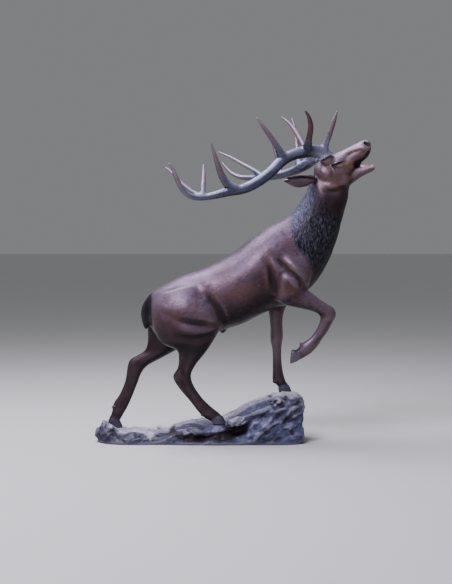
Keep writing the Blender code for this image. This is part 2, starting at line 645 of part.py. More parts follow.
def dewclaw_shapes():
    radii = (DEWCLAW_RADIUS,) * 3
    return [ellipsoid((x, y + side * DEWCLAW_OFFSET, z), radii)
            for x, y, z in DEWCLAWS.values() for side in (-1, 1)]


def swelling_shapes():
    shapes = []
    for (x, y, z), radii in SWELLINGS.values():
        yaw = HEAD_YAW if x > 0.8 else 0
        shapes.append(ellipsoid((x, yaw + y, z), radii))
        shapes.append(ellipsoid((x, yaw - y, z), radii))
    return shapes


def seat_point(seat, tilt, offset):
    """A point on the seat's axis, offset along it, at the figure's real size."""
    return Vector(seat) * FIGURE + Vector(tilt).normalized() * offset


def pedicle(seat, tilt):
    root = seat_point(seat, tilt, -PEDICLE_ROOT) / FIGURE
    top = seat_point(seat, tilt, SOLE_SINK) / FIGURE
    return tube([(*root, PEDICLE_RADIUS * 1.15), (*top, PEDICLE_RADIUS)], sides=16)


def disc_cutter(seat, tilt, radius, height):
    """A flat-ended cylinder that stands on the seat plane."""
    middle = seat_point(seat, tilt, height / 2)
    turn = Vector((0, 0, 1)).rotation_difference(Vector(tilt)).to_matrix().to_4x4()
    work = bmesh.new()
    bmesh.ops.create_cone(work, cap_ends=True, segments=24, radius1=radius, radius2=radius,
                          depth=height, matrix=Matrix.Translation(middle) @ turn)
    return object_from("Seat cutter", work)


def block(name, low, high):
    """A box between two corners, as an object."""
    work = bmesh.new()
    bmesh.ops.create_cube(work, size=1)
    for vertex in work.verts:
        vertex.co = [low[i] if vertex.co[i] < 0 else high[i] for i in range(3)]
    return object_from(name, work)


def sole_box(name, margin):
    """Lowest and highest x and y of a standing hoof's sole, and its level, at real size."""
    front, rear, sole_front, sole_rear, y = HOOVES[name]
    reach = TOE_OFFSET + TOE_HALF_WIDTH
    ends = sorted((sole_front[0], sole_rear[0], front[0], rear[0]))
    return ((ends[0] * FIGURE - margin, (y - reach) * FIGURE - margin),
            (ends[-1] * FIGURE + margin, (y + reach) * FIGURE + margin), sole_front[1] * FIGURE)


def softness(points):
    """How freely each point may relax: much on the trunk, little on limbs, head and ears."""
    trunk = fade(points[:, 2], *TRUNK_RISE) * (1 - fade(points[:, 0], *TRUNK_FRONT))
    return LIMB_SOFTNESS + (TRUNK_SOFTNESS - LIMB_SOFTNESS) * trunk


def make_stag():
    shapes = [loft(part) for part in (TORSO, NECK, HEAD, JAW, RIGHT_HIND, LEFT_HIND,
                                      LEFT_FORE, RIGHT_FORE, TAIL, EAR, mirrored(EAR), SHEATH)]
    shapes += swelling_shapes() + dewclaw_shapes()
    for name, sizes in HOOVES.items():
        shapes += toe_shapes(*sizes) if name in STANDING_HOOVES else raised_toe_shapes(*sizes)
    shapes += [pedicle(RIGHT_SEAT, RIGHT_SEAT_TILT), pedicle(LEFT_SEAT, LEFT_SEAT_TILT)]
    stag = add_object("stag", shapes, FIGURE)
    bake(stag, "REMESH", mode="VOXEL", voxel_size=STAG_VOXEL * FIGURE)
    points = mesh_points(stag.data) / FIGURE
    relax(stag.data, 8, softness(points))
    carve_stag(stag, FIGURE)
    thin_out(stag, STAG_TRIANGLES)
    cut_away(stag, disc_cutter(RIGHT_SEAT, RIGHT_SEAT_TILT, BURR_RADIUS * 1.25, SOLE_SINK * 2))
    cut_away(stag, disc_cutter(LEFT_SEAT, LEFT_SEAT_TILT, BURR_RADIUS * 1.25, SOLE_SINK * 2))
    for name in STANDING_HOOVES:
        (x0, y0), (x1, y1), level = sole_box(name, SOLE_SINK)
        cut_away(stag, block("Sole cutter", (x0, y0, level - 4 * SOLE_SINK), (x1, y1, level)))
    return stag


def make_antler(name, lines, seat, tilt):
    """Beam and tines joined into one body that starts flat on its seat."""
    start = seat_point(seat, tilt, SEAT_GAP) / FIGURE
    burr = seat_point(seat, tilt, 0.014) / FIGURE
    beam = ((*start, BURR_RADIUS), (*burr, BURR_RADIUS), *lines["beam"])
    antler = add_object(name, [tube(beam, steps=2, tilt=tilt)], FIGURE)
    for tine, line in lines.items():
        if tine == "beam":
            continue
        other = add_object(tine, [tube(line, steps=2)], FIGURE)
        bake(antler, "BOOLEAN", operation="UNION", object=other)
        bpy.data.objects.remove(other, do_unlink=True)
    bake(antler, "TRIANGULATE")
    return antler


def rock_body():
    """The rock's main mass, lofted along its length over a flat underside."""
    rings = []
    turns = np.linspace(0, math.pi, 17)
    rows = smooth_rows([row[1:] for row in ROCK_PROFILE], 3)
    for along, high, deep in rows:
        x = BASE_LEFT + along * BASE_LENGTH
        ring = []
        for t in turns:
            y = -math.copysign(abs(math.cos(t)) ** 0.7, math.cos(t)) * deep * BASE_DEPTH / 2
            z = math.sin(t) ** 0.45 * high * BASE_HEIGHT
            ring.append((x, y, z))
        ring += [(x, deep * BASE_DEPTH / 2 * (1 - 2 * s), -SOLE_SINK) for s in (0, 0.25, 0.5, 0.75, 1)]
        rings.append(np.array(ring))
    return closed_rings(rings)


def boulder(share, high, deep, radius, seed):
    """A rough stone: the hull of points spread over a ball."""
    middle = Vector((BASE_LEFT + share * BASE_LENGTH, deep * BASE_DEPTH / 2, high * BASE_HEIGHT))
    rng = np.random.default_rng(seed)
    work = bmesh.new()
    for way in rng.normal(size=(26, 3)):
        way = Vector(way).normalized()
        work.verts.new(middle + Vector((way.x * 1.25, way.y, way.z * 0.85)) * radius)
    bmesh.ops.convex_hull(work, input=work.verts)
    bmesh.ops.delete(work, geom=[v for v in work.verts if not v.link_faces], context="VERTS")
    work.verts.index_update()
    points = np.array([tuple(v.co) for v in work.verts])
    faces = [tuple(v.index for v in face.verts) for face in work.faces]
    work.free()
    return points, faces


def crack_rock(thing):
    """Wears the smooth rock into slanting ridges and scoops, and sinks its named hollows."""
    mesh = thing.data
    points = mesh_points(mesh)
    normals = mesh_normals(mesh)
    push = np.zeros(len(points))
    for i, (x, y, z) in enumerate(points):
        along = x * RIDGE_SLOPE[0] + z * RIDGE_SLOPE[1]
        across = z * RIDGE_SLOPE[0] - x * RIDGE_SLOPE[1]
        place = Vector((along / RIDGE_PITCH[0], y / RIDGE_PITCH[1], across / RIDGE_PITCH[2]))
        ridge = noise.ridged_multi_fractal(place, 1.0, 2.1, 3, 1.0, 2.0)
        push[i] = RIDGE_HEIGHT * (ridge - 1.25)
    for _, share, high, radius, depth in ROCK_DENTS:
        x = BASE_LEFT + share * BASE_LENGTH
        away = np.hypot(points[:, 0] - x, (points[:, 2] - high * BASE_HEIGHT) * 1.6)
        push -= depth * np.exp(-((away / radius) ** 2)) * np.clip(-normals[:, 1], 0, 1)
    push *= fade(points[:, 2], 0, 0.03)
    set_points(mesh, points + normals * push[:, None])


def mound(low, high, level):
    """A low stone stump, flat on top, under the sole between two corners."""
    work = bmesh.new()
    bmesh.ops.create_cone(work, cap_ends=True, segments=14, radius1=1.0 + PAD_SPREAD, radius2=1.0, depth=1.0)
    middle = [(a + b) / 2 for a, b in zip(low, high)]
    half = [(b - a) / 2 * PAD_ROUNDING for a, b in zip(low, high)]
    for vertex in work.verts:
        z = SOLE_SINK if vertex.co.z < 0 else level
        vertex.co = (middle[0] + vertex.co.x * half[0], middle[1] + vertex.co.y * half[1], z)
    return object_from("Mound", work)


def make_rock():
    shapes = [rock_body()]
    for seed, (_, share, high, deep, radius) in enumerate(BOULDERS):
        shapes.append(boulder(share, high, deep, radius, seed))
    rock = add_object("rock_base", shapes)
    bake(rock, "REMESH", mode="VOXEL", voxel_size=ROCK_VOXEL)
    relax(rock.data, 2, np.full(len(rock.data.vertices), 0.5))
    crack_rock(rock)
    thin_out(rock, ROCK_TRIANGLES)
    for name in STANDING_HOOVES:
        (x0, y0), (x1, y1), level = sole_box(name, PAD_MARGIN)
        pad = mound((x0, y0), (x1, y1), level - SEAT_GAP)
        bake(rock, "BOOLEAN", operation="UNION", object=pad)
        bpy.data.objects.remove(pad, do_unlink=True)
        cut_away(rock, block("Pad cutter", (x0, y0, level - SEAT_GAP), (x1, y1, level + BASE_HEIGHT)))
    reach = BASE_LENGTH
    cut_away(rock, block("Underside cutter", (-reach, -reach, -reach), (reach, reach, 0)))
    bake(rock, "TRIANGULATE")
    return rock


def main():
    clear_scene()
    body = bronze("Warm brown bronze", (0.105, 0.055, 0.040), 0.42)
    antler = bronze("Silvery antler bronze", (0.300, 0.290, 0.300), 0.40)
    stone = bronze("Slate rock bronze", (0.120, 0.125, 0.140), 0.50)
    pieces = (
        (make_stag(), body),
        (make_antler("antler_right", RIGHT_ANTLER, RIGHT_SEAT, RIGHT_SEAT_TILT), antler),
        (make_antler("antler_left", LEFT_ANTLER, LEFT_SEAT, LEFT_SEAT_TILT), antler),
        (make_rock(), stone),
    )
    for piece, material in pieces:
        piece.data.materials.clear()
        piece.data.materials.append(material)
        piece.data.shade_smooth()
        piece.data.set_sharp_from_angle(angle=math.radians(50))


main()
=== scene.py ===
"""Looks of the roaring bronze stag: its fine cast surface, patina with painted sheen, highlights and shade,
floor, light and camera.

The stag, antlers and rock are built again from the same stations as the solids, only much
finer, and each stands for its CAD node. All lengths are in metres, in the frame of the solids.
"""
import math

import bmesh
import bpy
import numpy as np
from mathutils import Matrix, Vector, noise


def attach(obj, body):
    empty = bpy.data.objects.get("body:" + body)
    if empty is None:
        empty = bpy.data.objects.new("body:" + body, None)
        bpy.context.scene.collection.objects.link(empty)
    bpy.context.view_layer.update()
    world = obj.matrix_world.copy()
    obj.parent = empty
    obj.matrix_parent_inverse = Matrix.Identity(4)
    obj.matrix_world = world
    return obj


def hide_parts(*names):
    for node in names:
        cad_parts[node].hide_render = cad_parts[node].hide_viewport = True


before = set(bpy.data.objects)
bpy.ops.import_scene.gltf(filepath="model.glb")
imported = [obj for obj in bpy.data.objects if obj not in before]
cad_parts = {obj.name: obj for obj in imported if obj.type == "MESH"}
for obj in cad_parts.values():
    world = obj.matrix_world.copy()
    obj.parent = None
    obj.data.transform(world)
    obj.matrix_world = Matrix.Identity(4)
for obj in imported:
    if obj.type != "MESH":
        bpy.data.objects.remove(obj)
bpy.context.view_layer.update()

# The photograph's frame, and how its view was set up
PHOTO_WIDTH = 452
PHOTO_HEIGHT = 584
METRES_PER_PIXEL = 0.00627
CAMERA_DISTANCE = 8.0
EYE_HEIGHT = 1.25
HORIZON_ROW = 241.6
ORIGIN_COLUMN = 201.0
SENSOR_HEIGHT = 36.0

# Floor and light. Softboxes: name, place, size, power and colour
FLOOR_SIZE = 240.0
FLOOR_COLOUR = (0.74, 0.74, 0.73)
FLOOR_ROUGHNESS = 0.8
WORLD_COLOUR = (0.86, 0.87, 0.90)
WORLD_STRENGTH = 0.25
LIGHT_AIM = (0.1, 0, 1.0)
SOFTBOXES = (
    ("Sky softbox", (-1.4, 0.9, 5.0), 3.2, 240, (0.90, 0.88, 1.0)),
    ("High front softbox", (-2.2, -4.6, 6.0), 3.0, 520, (0.88, 0.84, 1.0)),
)

# Sizes shared with the solids
REAR_LEDGE = 0.062
FRONT_LEDGE = 0.078
BASE_DEPTH = 0.46
BLOCK_RISE = 0.022
SEAT_GAP = 0.0003
PEDICLE_RADIUS = 0.036
PEDICLE_FLARE = 1.15
BURR_RADIUS = 0.046
BODY_SIDES = 44
ANTLER_SIDES = 20

# How finely the castings are built
STAG_VOXEL = 0.0045
ROCK_VOXEL = 0.0050
ANTLER_VOXEL = 0.0032
LOFT_STEPS = 8
STAG_TRIANGLES = 190000
ROCK_TRIANGLES = 110000
ANTLER_TRIANGLES = 60000
RELAX_ROUNDS = 34
TRUNK_ROUNDS = 60
CARVING_ROUNDS = 9
LAST_RELAX = 0.4
CURVE_STEPS = 5

# Carved lines: how they thin out and waver, how far they reach, and the swelling beside a fold
TAPER = 0.8
UNEVENNESS = 0.20
WAVES = 9.0
WAVE_SHIFT = 40.0
LINE_REACH = 6.0
SWELL_SHARE = 0.55
SWELL_PLACE = 2.4
SWELL_WIDTH = 1.7
# A carving for one side of the body starts this far from the middle
SIDE_START = 0.01
# The head, which is turned a little, starts here in x
HEAD_START = 0.8

# Eyes, tongue and teeth
EYE_CENTRE = (0.840, 0.072, 1.7295)
EYE_RADIUS = 0.028
EYE_SHARES = (0.86, 0.80, 0.72)
LID_LIFT = 0.0065
LOWER_LID_SHARE = 0.7
LID_HALF_LENGTH = 0.030
LID_SLANT = 0.0105
LID_RADIUS = 0.0042
LID_OUT = 0.80
# The painted shadow of the upper lid on the shut eye: half length and half height of its dark slit, and where
# it fades
EYE_SLIT = (0.044, 0.0066)
EYE_SLIT_FADE = (0.75, 1.25)
TONGUE = ((1.005, -0.038, 1.722), (0.050, 0.022, 0.011))
TEETH_CENTRE = (1.052, -0.046, 1.730)
TEETH_RADIUS = 0.022
TEETH_TURN = 1.1
TOOTH_COUNT = 6
TOOTH_RADII = (0.0045, 0.0050, 0.0075)
NOSTRIL = ((1.006, 1.869), (1.027, 1.856), (1.043, 1.838))
EAR_SLIT = ((0.700, 1.640), (0.655, 1.645), (0.613, 1.645), (0.530, 1.636))
JAW_CREASE = (((0.836, 1.625), (0.867, 1.589), (0.906, 1.578), (0.921, 1.596)), 0.025, 0.060)

# Marks along lines in x and z: full within one distance, gone beyond another, and strength
# Painted shade in the open mouth and the nostrils
MOUTH_MARK = (((0.965, 1.728), (1.020, 1.745), (1.060, 1.765)), 0.018, 0.030)
UPPER_MOUTH_MARK = (((1.044, 1.800), (1.026, 1.774), (0.998, 1.742)), 0.009, 0.022)
NOSTRIL_MARK = (((1.018, 1.861), (1.036, 1.850)), 0.009, 0.015)
# Painted highlights on the lower lip, the ear's upper rim and the eyeball
LIP_MARK = (((1.005, 1.725), (1.082, 1.722)), 0.009, 0.018)
EAR_RIM_HIGHLIGHT_MARK = (((0.510, 1.648), (0.581, 1.664), (0.664, 1.669)), 0.004, 0.016, 0.7)
EYE_BALL_HIGHLIGHT_MARK = (((0.845, 1.716), (0.868, 1.719)), 0.004, 0.010, 0.22)
# Painted shade in the folds behind the eye
EYE_FOLD_SHADE_MARKS = (
    (((0.792, 1.722), (0.812, 1.684)), 0.002, 0.008, 0.75),
    (((0.808, 1.728), (0.830, 1.690)), 0.002, 0.008, 0.75),
)
# Painted shade in the ear's slit
EAR_SLIT_SHADE_MARK = (EAR_SLIT, 0.003, 0.011, 0.80)
EAR_MARK = (((0.500, 1.646), (0.600, 1.630), (0.690, 1.640)), 0.046, 0.056)
TAIL_MARK = (((-0.330, 0.930), (-0.352, 0.840), (-0.345, 0.730)), 0.045, 0.070)
# Painted bluish highlight on the upper mane at the nape
NAPE_HIGHLIGHT_MARK = (
    ((0.470, 1.300), (0.505, 1.351), (0.578, 1.473), (0.639, 1.577), (0.675, 1.632)), 0.030, 0.125,
)
# Painted shade in the groove under the nasal bone, and painted shadow behind the eye under the antler's foot
CHEEK_GROOVE_SHADE_MARK = (((0.885, 1.752), (0.928, 1.790), (0.980, 1.808), (1.020, 1.812)), 0.004, 0.016, 0.55)
TEMPLE_SHADOW_MARK = (((0.735, 1.712), (0.762, 1.682), (0.795, 1.665)), 0.010, 0.032, 0.60)
# Where the marks start and are full, by place
MOUTH_Y = -0.040
MOUTH_HALF_WIDTH = 0.045
EAR_SLIT_Y = 0.086
EAR_OUT = (0.070, 0.086)
TAIL_START = (0.300, 0.312)
FACE_RISE = (0.02, 0.15)
FACE_FRONT = (0.66, 0.72)
# Where the painted highlight on the bridge of the nose lies, and which way it faces
BRIDGE_FRONT = (0.82, 0.90)
BRIDGE_FACING = (0.30, 0.85)
BRIDGE_LEAN = 0.3
# Where the painted highlight on the nape starts, and where the painted shade on the throat and legs lies
NAPE_RISE = (1.26, 1.36)
THROAT_RISE = (1.36, 1.46)
THROAT_TOP = (1.555, 1.625)
LIMB_RISE = (0.58, 0.84)
FORE_LIFT = 0.18
FORE_START = (0.30, 0.45)
HOOF_REACH = (0.055, 0.085)

# Hair: strands, tufts, locks and coat, and how deep a hollow of the stag counts as full
STRAND_WIDTH = 0.0070
STRAND_LENGTH = 0.060
STRAND_DEPTH = 0.0017
STRAND_SEED = 3.0
TUFT_WIDTH = 0.026
TUFT_LENGTH = 0.085
TUFT_DEPTH = 0.0014
TUFT_SEED = 8.0
LOCK_SHARE = 0.14
LOCK_MIDDLE = 0.35
STRAND_SWAY = 0.8
COAT_FLOW = (-0.88, 0.0, -0.47)
COAT_DEPTH = 0.0006
COAT_LENGTH = 0.024
COAT_WIDTH = 0.009
COAT_RISE = (0.60, 0.80)
COAT_SEED = 7.0
HOLLOW_REACH = 0.0016

# Antlers: burr, foot of the tines, surface and marks
BURR_LIFT = 0.008
BURR_START = 0.0015
BURR_TOP = 0.014
BURR_KNOBS = 18
KNOB_RADIUS = 0.0070
KNOB_SPREAD = 0.22
KNOB_STEP = 2.4
TINE_FLARE = 1.05
FLARE_END = 0.28
FLARE_WIDTH = 1.08
WEB_ROUNDS = 26
WEB_PLACE = 0.45
WEB_WEIGHT = 0.6
WEB_REACH = (0.020, 0.065)
PEARL_HEIGHT = 0.0010
PEARL_PITCH = (70, 70, 70)
PEARL_REACH = (0.10, 0.30)
ANTLER_GRAIN = 0.0004
GRAIN_PITCH = (25, 60, 60)
ANTLER_HOLLOW_REACH = 0.0022
BEAM_TIP = 0.22
TIP_FADE = (0.25, 0.95)
FOOT_FADE = (0.03, 0.16)
# Reach and rise of the painted brown shade on the one dark tine
BROWN_REACH = (0.022, 0.034)
BROWN_RISE = (1.83, 1.90)

# Fluted tubes: steps along the line, sides, flutes and their depth
BEAM_FLUTES = (6, 28, 6, 0.020)
TINE_FLUTES = (8, 20, 5, 0.015)

# Rock: rounding of its section across and up, fine relief, cracks and marks
ROCK_CORNER = (0.7, 0.45)
FINE_RIDGE_HEIGHT = 0.0050
FINE_RIDGE_SHARE = 2.7
LUMP_HEIGHT = 0.0042
LUMP_SIZE = 0.045
CHIP_HEIGHT = 0.0036
CHIP_SIZE = 0.070
RIDGE_LEVEL = 1.25
FINE_LEVEL = 1.2
BOULDER_POINTS = 26
BOULDER_SHAPE = (1.25, 1.0, 0.85)
DENT_FLATNESS = 1.6
CRACK_SWAY = 0.014
EDGE_SWAY = 0.012
CRACK_PITCH = 0.055
# How many cracks and dents carry the painted shade of the pits, and its strength
DARK_CRACKS = 2
DARK_DENTS = 2
DARK_FINE_DENTS = 4
PIT_STRENGTH = 0.8
KNOB_EDGE = 0.95
PIT_KNOB = 1.25
FRONT_KNOB = 1.35
FRONT_UNDER = (-0.008, 0.018)
FRONT_OUT = (0.05, 0.12)
# Where the painted shade on the rock's left end, on the rear of its front and on its lowest band lies
REAR_END = (0.555, 0.610)
REAR_END_RISE = (0.105, 0.145)
REAR_END_STRENGTH = 1.3
REAR_FRONT = (-0.38, -0.20)
REAR_FRONT_STRENGTH = 0.9
LOW_RISE = (0.0, 0.07)
FOOT_RISE = (0, 0.03)
ROCK_HOLLOW_REACH = 0.0052
# Depths below a sole between which the rock starts to be flattened, and how far around
SEAT_DEPTHS = (0.09, 0.05)
SEAT_REACH = (1.22, 2.0)

# Cloud masks: noise scale, detail, roughness and stretch, then where the mask starts, where it
# is full, and its top
EVEN = (1, 1, 1)
CLOUDS = {
    "body broad": (3.5, 6.0, 0.60, EVEN, 0.35, 0.65, 1.0),
    "body fleck": (85.0, 5.0, 0.70, EVEN, 0.48, 0.70, 0.55),
    "body warm": (9.0, 5.0, 0.65, EVEN, 0.50, 0.66, 0.60),
    "face ochre": (14.0, 5.0, 0.60, EVEN, 0.42, 0.62, 1.0),
    "mane tuft": (120.0, 4.0, 0.60, (1.0, 1.0, 0.35), 0.41, 0.66, 1.0),
    "antler broad": (9.0, 5.0, 0.60, EVEN, 0.30, 0.70, 1.0),
    "antler streak": (30.0, 4.0, 0.60, (0.3, 1.0, 1.0), 0.54, 0.78, 0.3),
    "rock broad": (5.0, 6.0, 0.65, EVEN, 0.35, 0.65, 1.0),
    "rock streak": (55.0, 6.0, 0.70, (0.5, 1.0, 1.4), 0.46, 0.70, 0.60),
    # Clouds that break up the painted sheen
    "sheen patches": (6.0, 6.0, 0.65, EVEN, 0.35, 0.65, 1.0),
    "sheen specks": (95.0, 3.0, 0.70, EVEN, 0.34, 0.66, 1.0),
    "skin broad": (14.0, 4.0, 0.55, EVEN, 0.25, 0.75, 1.0),
}
# Colours of the three patinas, and of the painted sheen, highlights and shade laid over them, as linear red,
# green and blue
# On the body, the lavender sheen, the pale bridge, the blue nape and the pale lip colour, which also goes on
# the ear rim and eyeball, are painted highlights; the near-black shade, the darker leg brown and the mouth
# and eye colours are painted shade; the hollow and rubbed colours are patina and rubbed metal that also stand
# in for shade and highlights
BODY = {
    "dark brown": (0.056, 0.030, 0.033), "brown": (0.120, 0.066, 0.074), "fleck": (0.026, 0.015, 0.018),
    "warm": (0.140, 0.066, 0.048), "face": (0.140, 0.077, 0.070), "ochre": (0.280, 0.150, 0.080),
    "dark mane": (0.008, 0.007, 0.009), "mane": (0.074, 0.072, 0.108), "nape": (0.155, 0.162, 0.270),
    "tail": (0.014, 0.012, 0.017), "painted_shade": (0.020, 0.011, 0.013), "painted_sheen": (0.290, 0.228, 0.370),
    "shade": (0.006, 0.005, 0.006), "bridge": (0.420, 0.350, 0.440), "hoof": (0.060, 0.060, 0.085),
    "hoof ring": (0.010, 0.008, 0.010), "hollow": (0.008, 0.006, 0.007), "ridge rub and highlight": (0.250, 0.190, 0.220),
    "mouth": (0.008, 0.005, 0.005), "lip": (0.600, 0.430, 0.420), "eye": (0.005, 0.004, 0.005),
}
# On the antlers, the pale sheen is a painted highlight, the near-black shade and the brown of the one dark
# tine are painted shade, and the hollow and rubbed colours are patina and rubbed metal that also stand in for
# shade and highlights
ANTLER = {
    "dark grey": (0.058, 0.064, 0.118), "grey": (0.140, 0.148, 0.260), "streak": (0.060, 0.050, 0.062),
    "tip": (0.250, 0.120, 0.120), "painted_sheen": (0.500, 0.500, 0.700), "shade": (0.010, 0.009, 0.014),
    "silver": (0.360, 0.370, 0.500), "brown": (0.085, 0.042, 0.046), "hollow": (0.030, 0.026, 0.034),
    "ridge rub and highlight": (0.480, 0.460, 0.560),
}
# On the rock, the near-white sheen is a painted highlight, the near-black shade, the pit brown and the low
# colour are painted shade, and the hollow and rubbed colours are patina and rubbed metal that also stand in
# for shade and highlights
ROCK = {
    "dark slate": (0.052, 0.055, 0.092), "slate": (0.100, 0.106, 0.178), "streak": (0.030, 0.022, 0.026),
    "dark blue": (0.050, 0.054, 0.100), "blue": (0.102, 0.112, 0.225), "blue streak": (0.045, 0.033, 0.038),
    "painted_sheen": (0.800, 0.760, 0.900), "shade": (0.014, 0.011, 0.013), "hollow": (0.014, 0.010, 0.011),
    "ridge rub and highlight": (0.420, 0.400, 0.500), "pit": (0.026, 0.017, 0.018), "low": (0.022, 0.017, 0.020),
}
SOCKETS = {"colour": "NodeSocketColor", "number": "NodeSocketFloat", "place": "NodeSocketVector"}
BUMP_DISTANCE = 0.0012
MANE_DULLNESS = 0.22

# Stations of each lofted part: name, two opposite points in x and z, middle y, half width
TORSO = (
    ("tail root", (-0.325, 0.905), (-0.330, 0.745), 0, 0.070),
    ("pin bones", (-0.290, 0.945), (-0.275, 0.660), 0, 0.135),
    ("croup", (-0.220, 0.985), (-0.155, 0.635), 0, 0.170),
    ("hips", (-0.120, 1.035), (-0.045, 0.645), 0, 0.182),
    ("loin", (-0.005, 1.075), (0.065, 0.670), 0, 0.182),
    ("flank", (0.110, 1.130), (0.155, 0.700), 0, 0.195),
    ("barrel", (0.225, 1.202), (0.265, 0.735), 0, 0.210),
    ("ribs", (0.315, 1.273), (0.355, 0.780), 0, 0.212),
    ("girth", (0.400, 1.330), (0.450, 0.827), 0, 0.200),
    ("withers", (0.465, 1.365), (0.560, 0.860), 0, 0.182),
    ("shoulder point", (0.527, 1.393), (0.645, 0.920), 0, 0.160),
    ("breast", (0.596, 1.400), (0.710, 0.985), 0, 0.125),
    ("breastbone", (0.670, 1.345), (0.750, 1.072), 0, 0.080),
)
NECK = (
    ("root", (0.445, 1.310), (0.660, 0.947), 0, 0.150),
    ("crest foot", (0.515, 1.388), (0.735, 1.016), 0, 0.158),
    ("lower", (0.567, 1.430), (0.803, 1.138), 0, 0.152),
    ("middle", (0.608, 1.481), (0.850, 1.263), 0, 0.142),
    ("upper", (0.640, 1.530), (0.880, 1.379), 0, 0.130),
    ("throat", (0.665, 1.577), (0.905, 1.467), 0, 0.118),
    ("nape", (0.683, 1.627), (0.922, 1.533), 0, 0.105),
    ("poll", (0.709, 1.680), (0.926, 1.599), 0, 0.090),
)
HEAD = (
    ("skull back", (0.702, 1.711), (0.727, 1.624), 0, 0.055),
    ("burrs", (0.730, 1.746), (0.758, 1.573), -0.004, 0.082),
    ("cheek", (0.770, 1.774), (0.814, 1.542), -0.010, 0.094),
    ("brow", (0.814, 1.792), (0.870, 1.554), -0.015, 0.095),
    ("eye", (0.851, 1.806), (0.914, 1.595), -0.020, 0.086),
    ("bridge", (0.891, 1.823), (0.944, 1.654), -0.025, 0.070),
    ("nasal", (0.928, 1.841), (0.966, 1.703), -0.030, 0.058),
    ("muzzle root", (0.965, 1.859), (0.990, 1.734), -0.035, 0.053),
    ("muzzle", (1.002, 1.878), (1.018, 1.756), -0.040, 0.052),
    ("nostrils", (1.033, 1.884), (1.039, 1.778), -0.044, 0.048),
    ("nose", (1.054, 1.865), (1.056, 1.812), -0.048, 0.036),
)
JAW = (
    ("hinge", (0.858, 1.686), (0.858, 1.554), -0.014, 0.072),
    ("angle", (0.907, 1.704), (0.913, 1.585), -0.022, 0.058),
    ("bar", (0.950, 1.712), (0.956, 1.619), -0.030, 0.046),
    ("chin groove", (0.993, 1.716), (0.999, 1.652), -0.036, 0.038),
    ("lip", (1.036, 1.724), (1.039, 1.673), -0.042, 0.035),
    ("chin", (1.068, 1.727), (1.070, 1.688), -0.047, 0.028),
    ("chin tip", (1.084, 1.721), (1.081, 1.700), -0.050, 0.016),
)
RIGHT_HIND = (
    ("hip", (0.015, 0.993), (-0.265, 0.937), -0.080, 0.090),
    ("thigh", (0.076, 0.889), (-0.304, 0.852), -0.112, 0.108),
    ("low thigh", (0.120, 0.797), (-0.300, 0.742), -0.128, 0.106),
    ("stifle", (0.129, 0.730), (-0.250, 0.631), -0.132, 0.092),
    ("gaskin", (0.098, 0.668), (-0.152, 0.581), -0.130, 0.070),
    ("low gaskin", (0.039, 0.575), (-0.136, 0.532), -0.125, 0.048),
    ("hamstring", (-0.025, 0.494), (-0.143, 0.469), -0.120, 0.036),
    ("hock", (-0.059, 0.426), (-0.172, 0.414), -0.118, 0.036),
    ("below hock", (-0.044, 0.361), (-0.140, 0.348), -0.116, 0.028),
    ("cannon", (0.008, 0.283), (-0.069, 0.262), -0.114, 0.024),
    ("low cannon", (0.055, 0.235), (-0.023, 0.203), -0.113, 0.026),
    ("fetlock", (0.086, 0.209), (0.011, 0.166), -0.112, 0.033),
    ("pastern", (0.108, 0.192), (0.050, 0.141), -0.112, 0.030),
    ("coronet", (0.130, 0.172), (0.070, 0.132), -0.112, 0.036),
)
LEFT_HIND = (
    ("hip", (-0.008, 0.975), (-0.261, 0.924), 0.080, 0.090),
    ("thigh", (0.023, 0.847), (-0.323, 0.828), 0.112, 0.106),
    ("low thigh", (0.023, 0.738), (-0.343, 0.712), 0.128, 0.100),
    ("stifle", (-0.028, 0.636), (-0.343, 0.617), 0.130, 0.082),
    ("gaskin", (-0.136, 0.572), (-0.362, 0.556), 0.128, 0.060),
    ("low gaskin", (-0.251, 0.509), (-0.416, 0.522), 0.124, 0.045),
    ("hamstring", (-0.340, 0.461), (-0.454, 0.500), 0.120, 0.036),
    ("hock", (-0.381, 0.414), (-0.471, 0.459), 0.118, 0.036),
    ("below hock", (-0.406, 0.351), (-0.487, 0.363), 0.116, 0.028),
    ("cannon", (-0.441, 0.262), (-0.521, 0.281), 0.114, 0.024),
    ("low cannon", (-0.470, 0.198), (-0.559, 0.224), 0.113, 0.028),
    ("fetlock", (-0.492, 0.160), (-0.568, 0.186), 0.112, 0.033),
    ("pastern", (-0.510, 0.128), (-0.576, 0.151), 0.112, 0.030),
    ("coronet", (-0.522, 0.108), (-0.592, 0.122), 0.112, 0.036),
)
LEFT_FORE = (
    ("shoulder", (0.652, 1.120), (0.411, 1.120), 0.100, 0.080),
    ("arm", (0.628, 0.993), (0.386, 0.967), 0.122, 0.082),
    ("elbow", (0.564, 0.878), (0.405, 0.872), 0.120, 0.062),
    ("forearm", (0.529, 0.802), (0.426, 0.796), 0.115, 0.048),
    ("low forearm", (0.519, 0.739), (0.436, 0.720), 0.112, 0.040),
    ("knee top", (0.521, 0.682), (0.438, 0.669), 0.110, 0.036),
    ("knee", (0.520, 0.637), (0.440, 0.618), 0.110, 0.036),
    ("below knee", (0.511, 0.580), (0.451, 0.561), 0.110, 0.027),
    ("cannon", (0.511, 0.497), (0.454, 0.478), 0.110, 0.024),
    ("low cannon", (0.520, 0.424), (0.453, 0.415), 0.110, 0.028),
    ("fetlock", (0.532, 0.377), (0.454, 0.364), 0.110, 0.034),
    ("pastern", (0.544, 0.351), (0.481, 0.335), 0.110, 0.030),
    ("coronet", (0.560, 0.333), (0.490, 0.322), 0.110, 0.036),
)
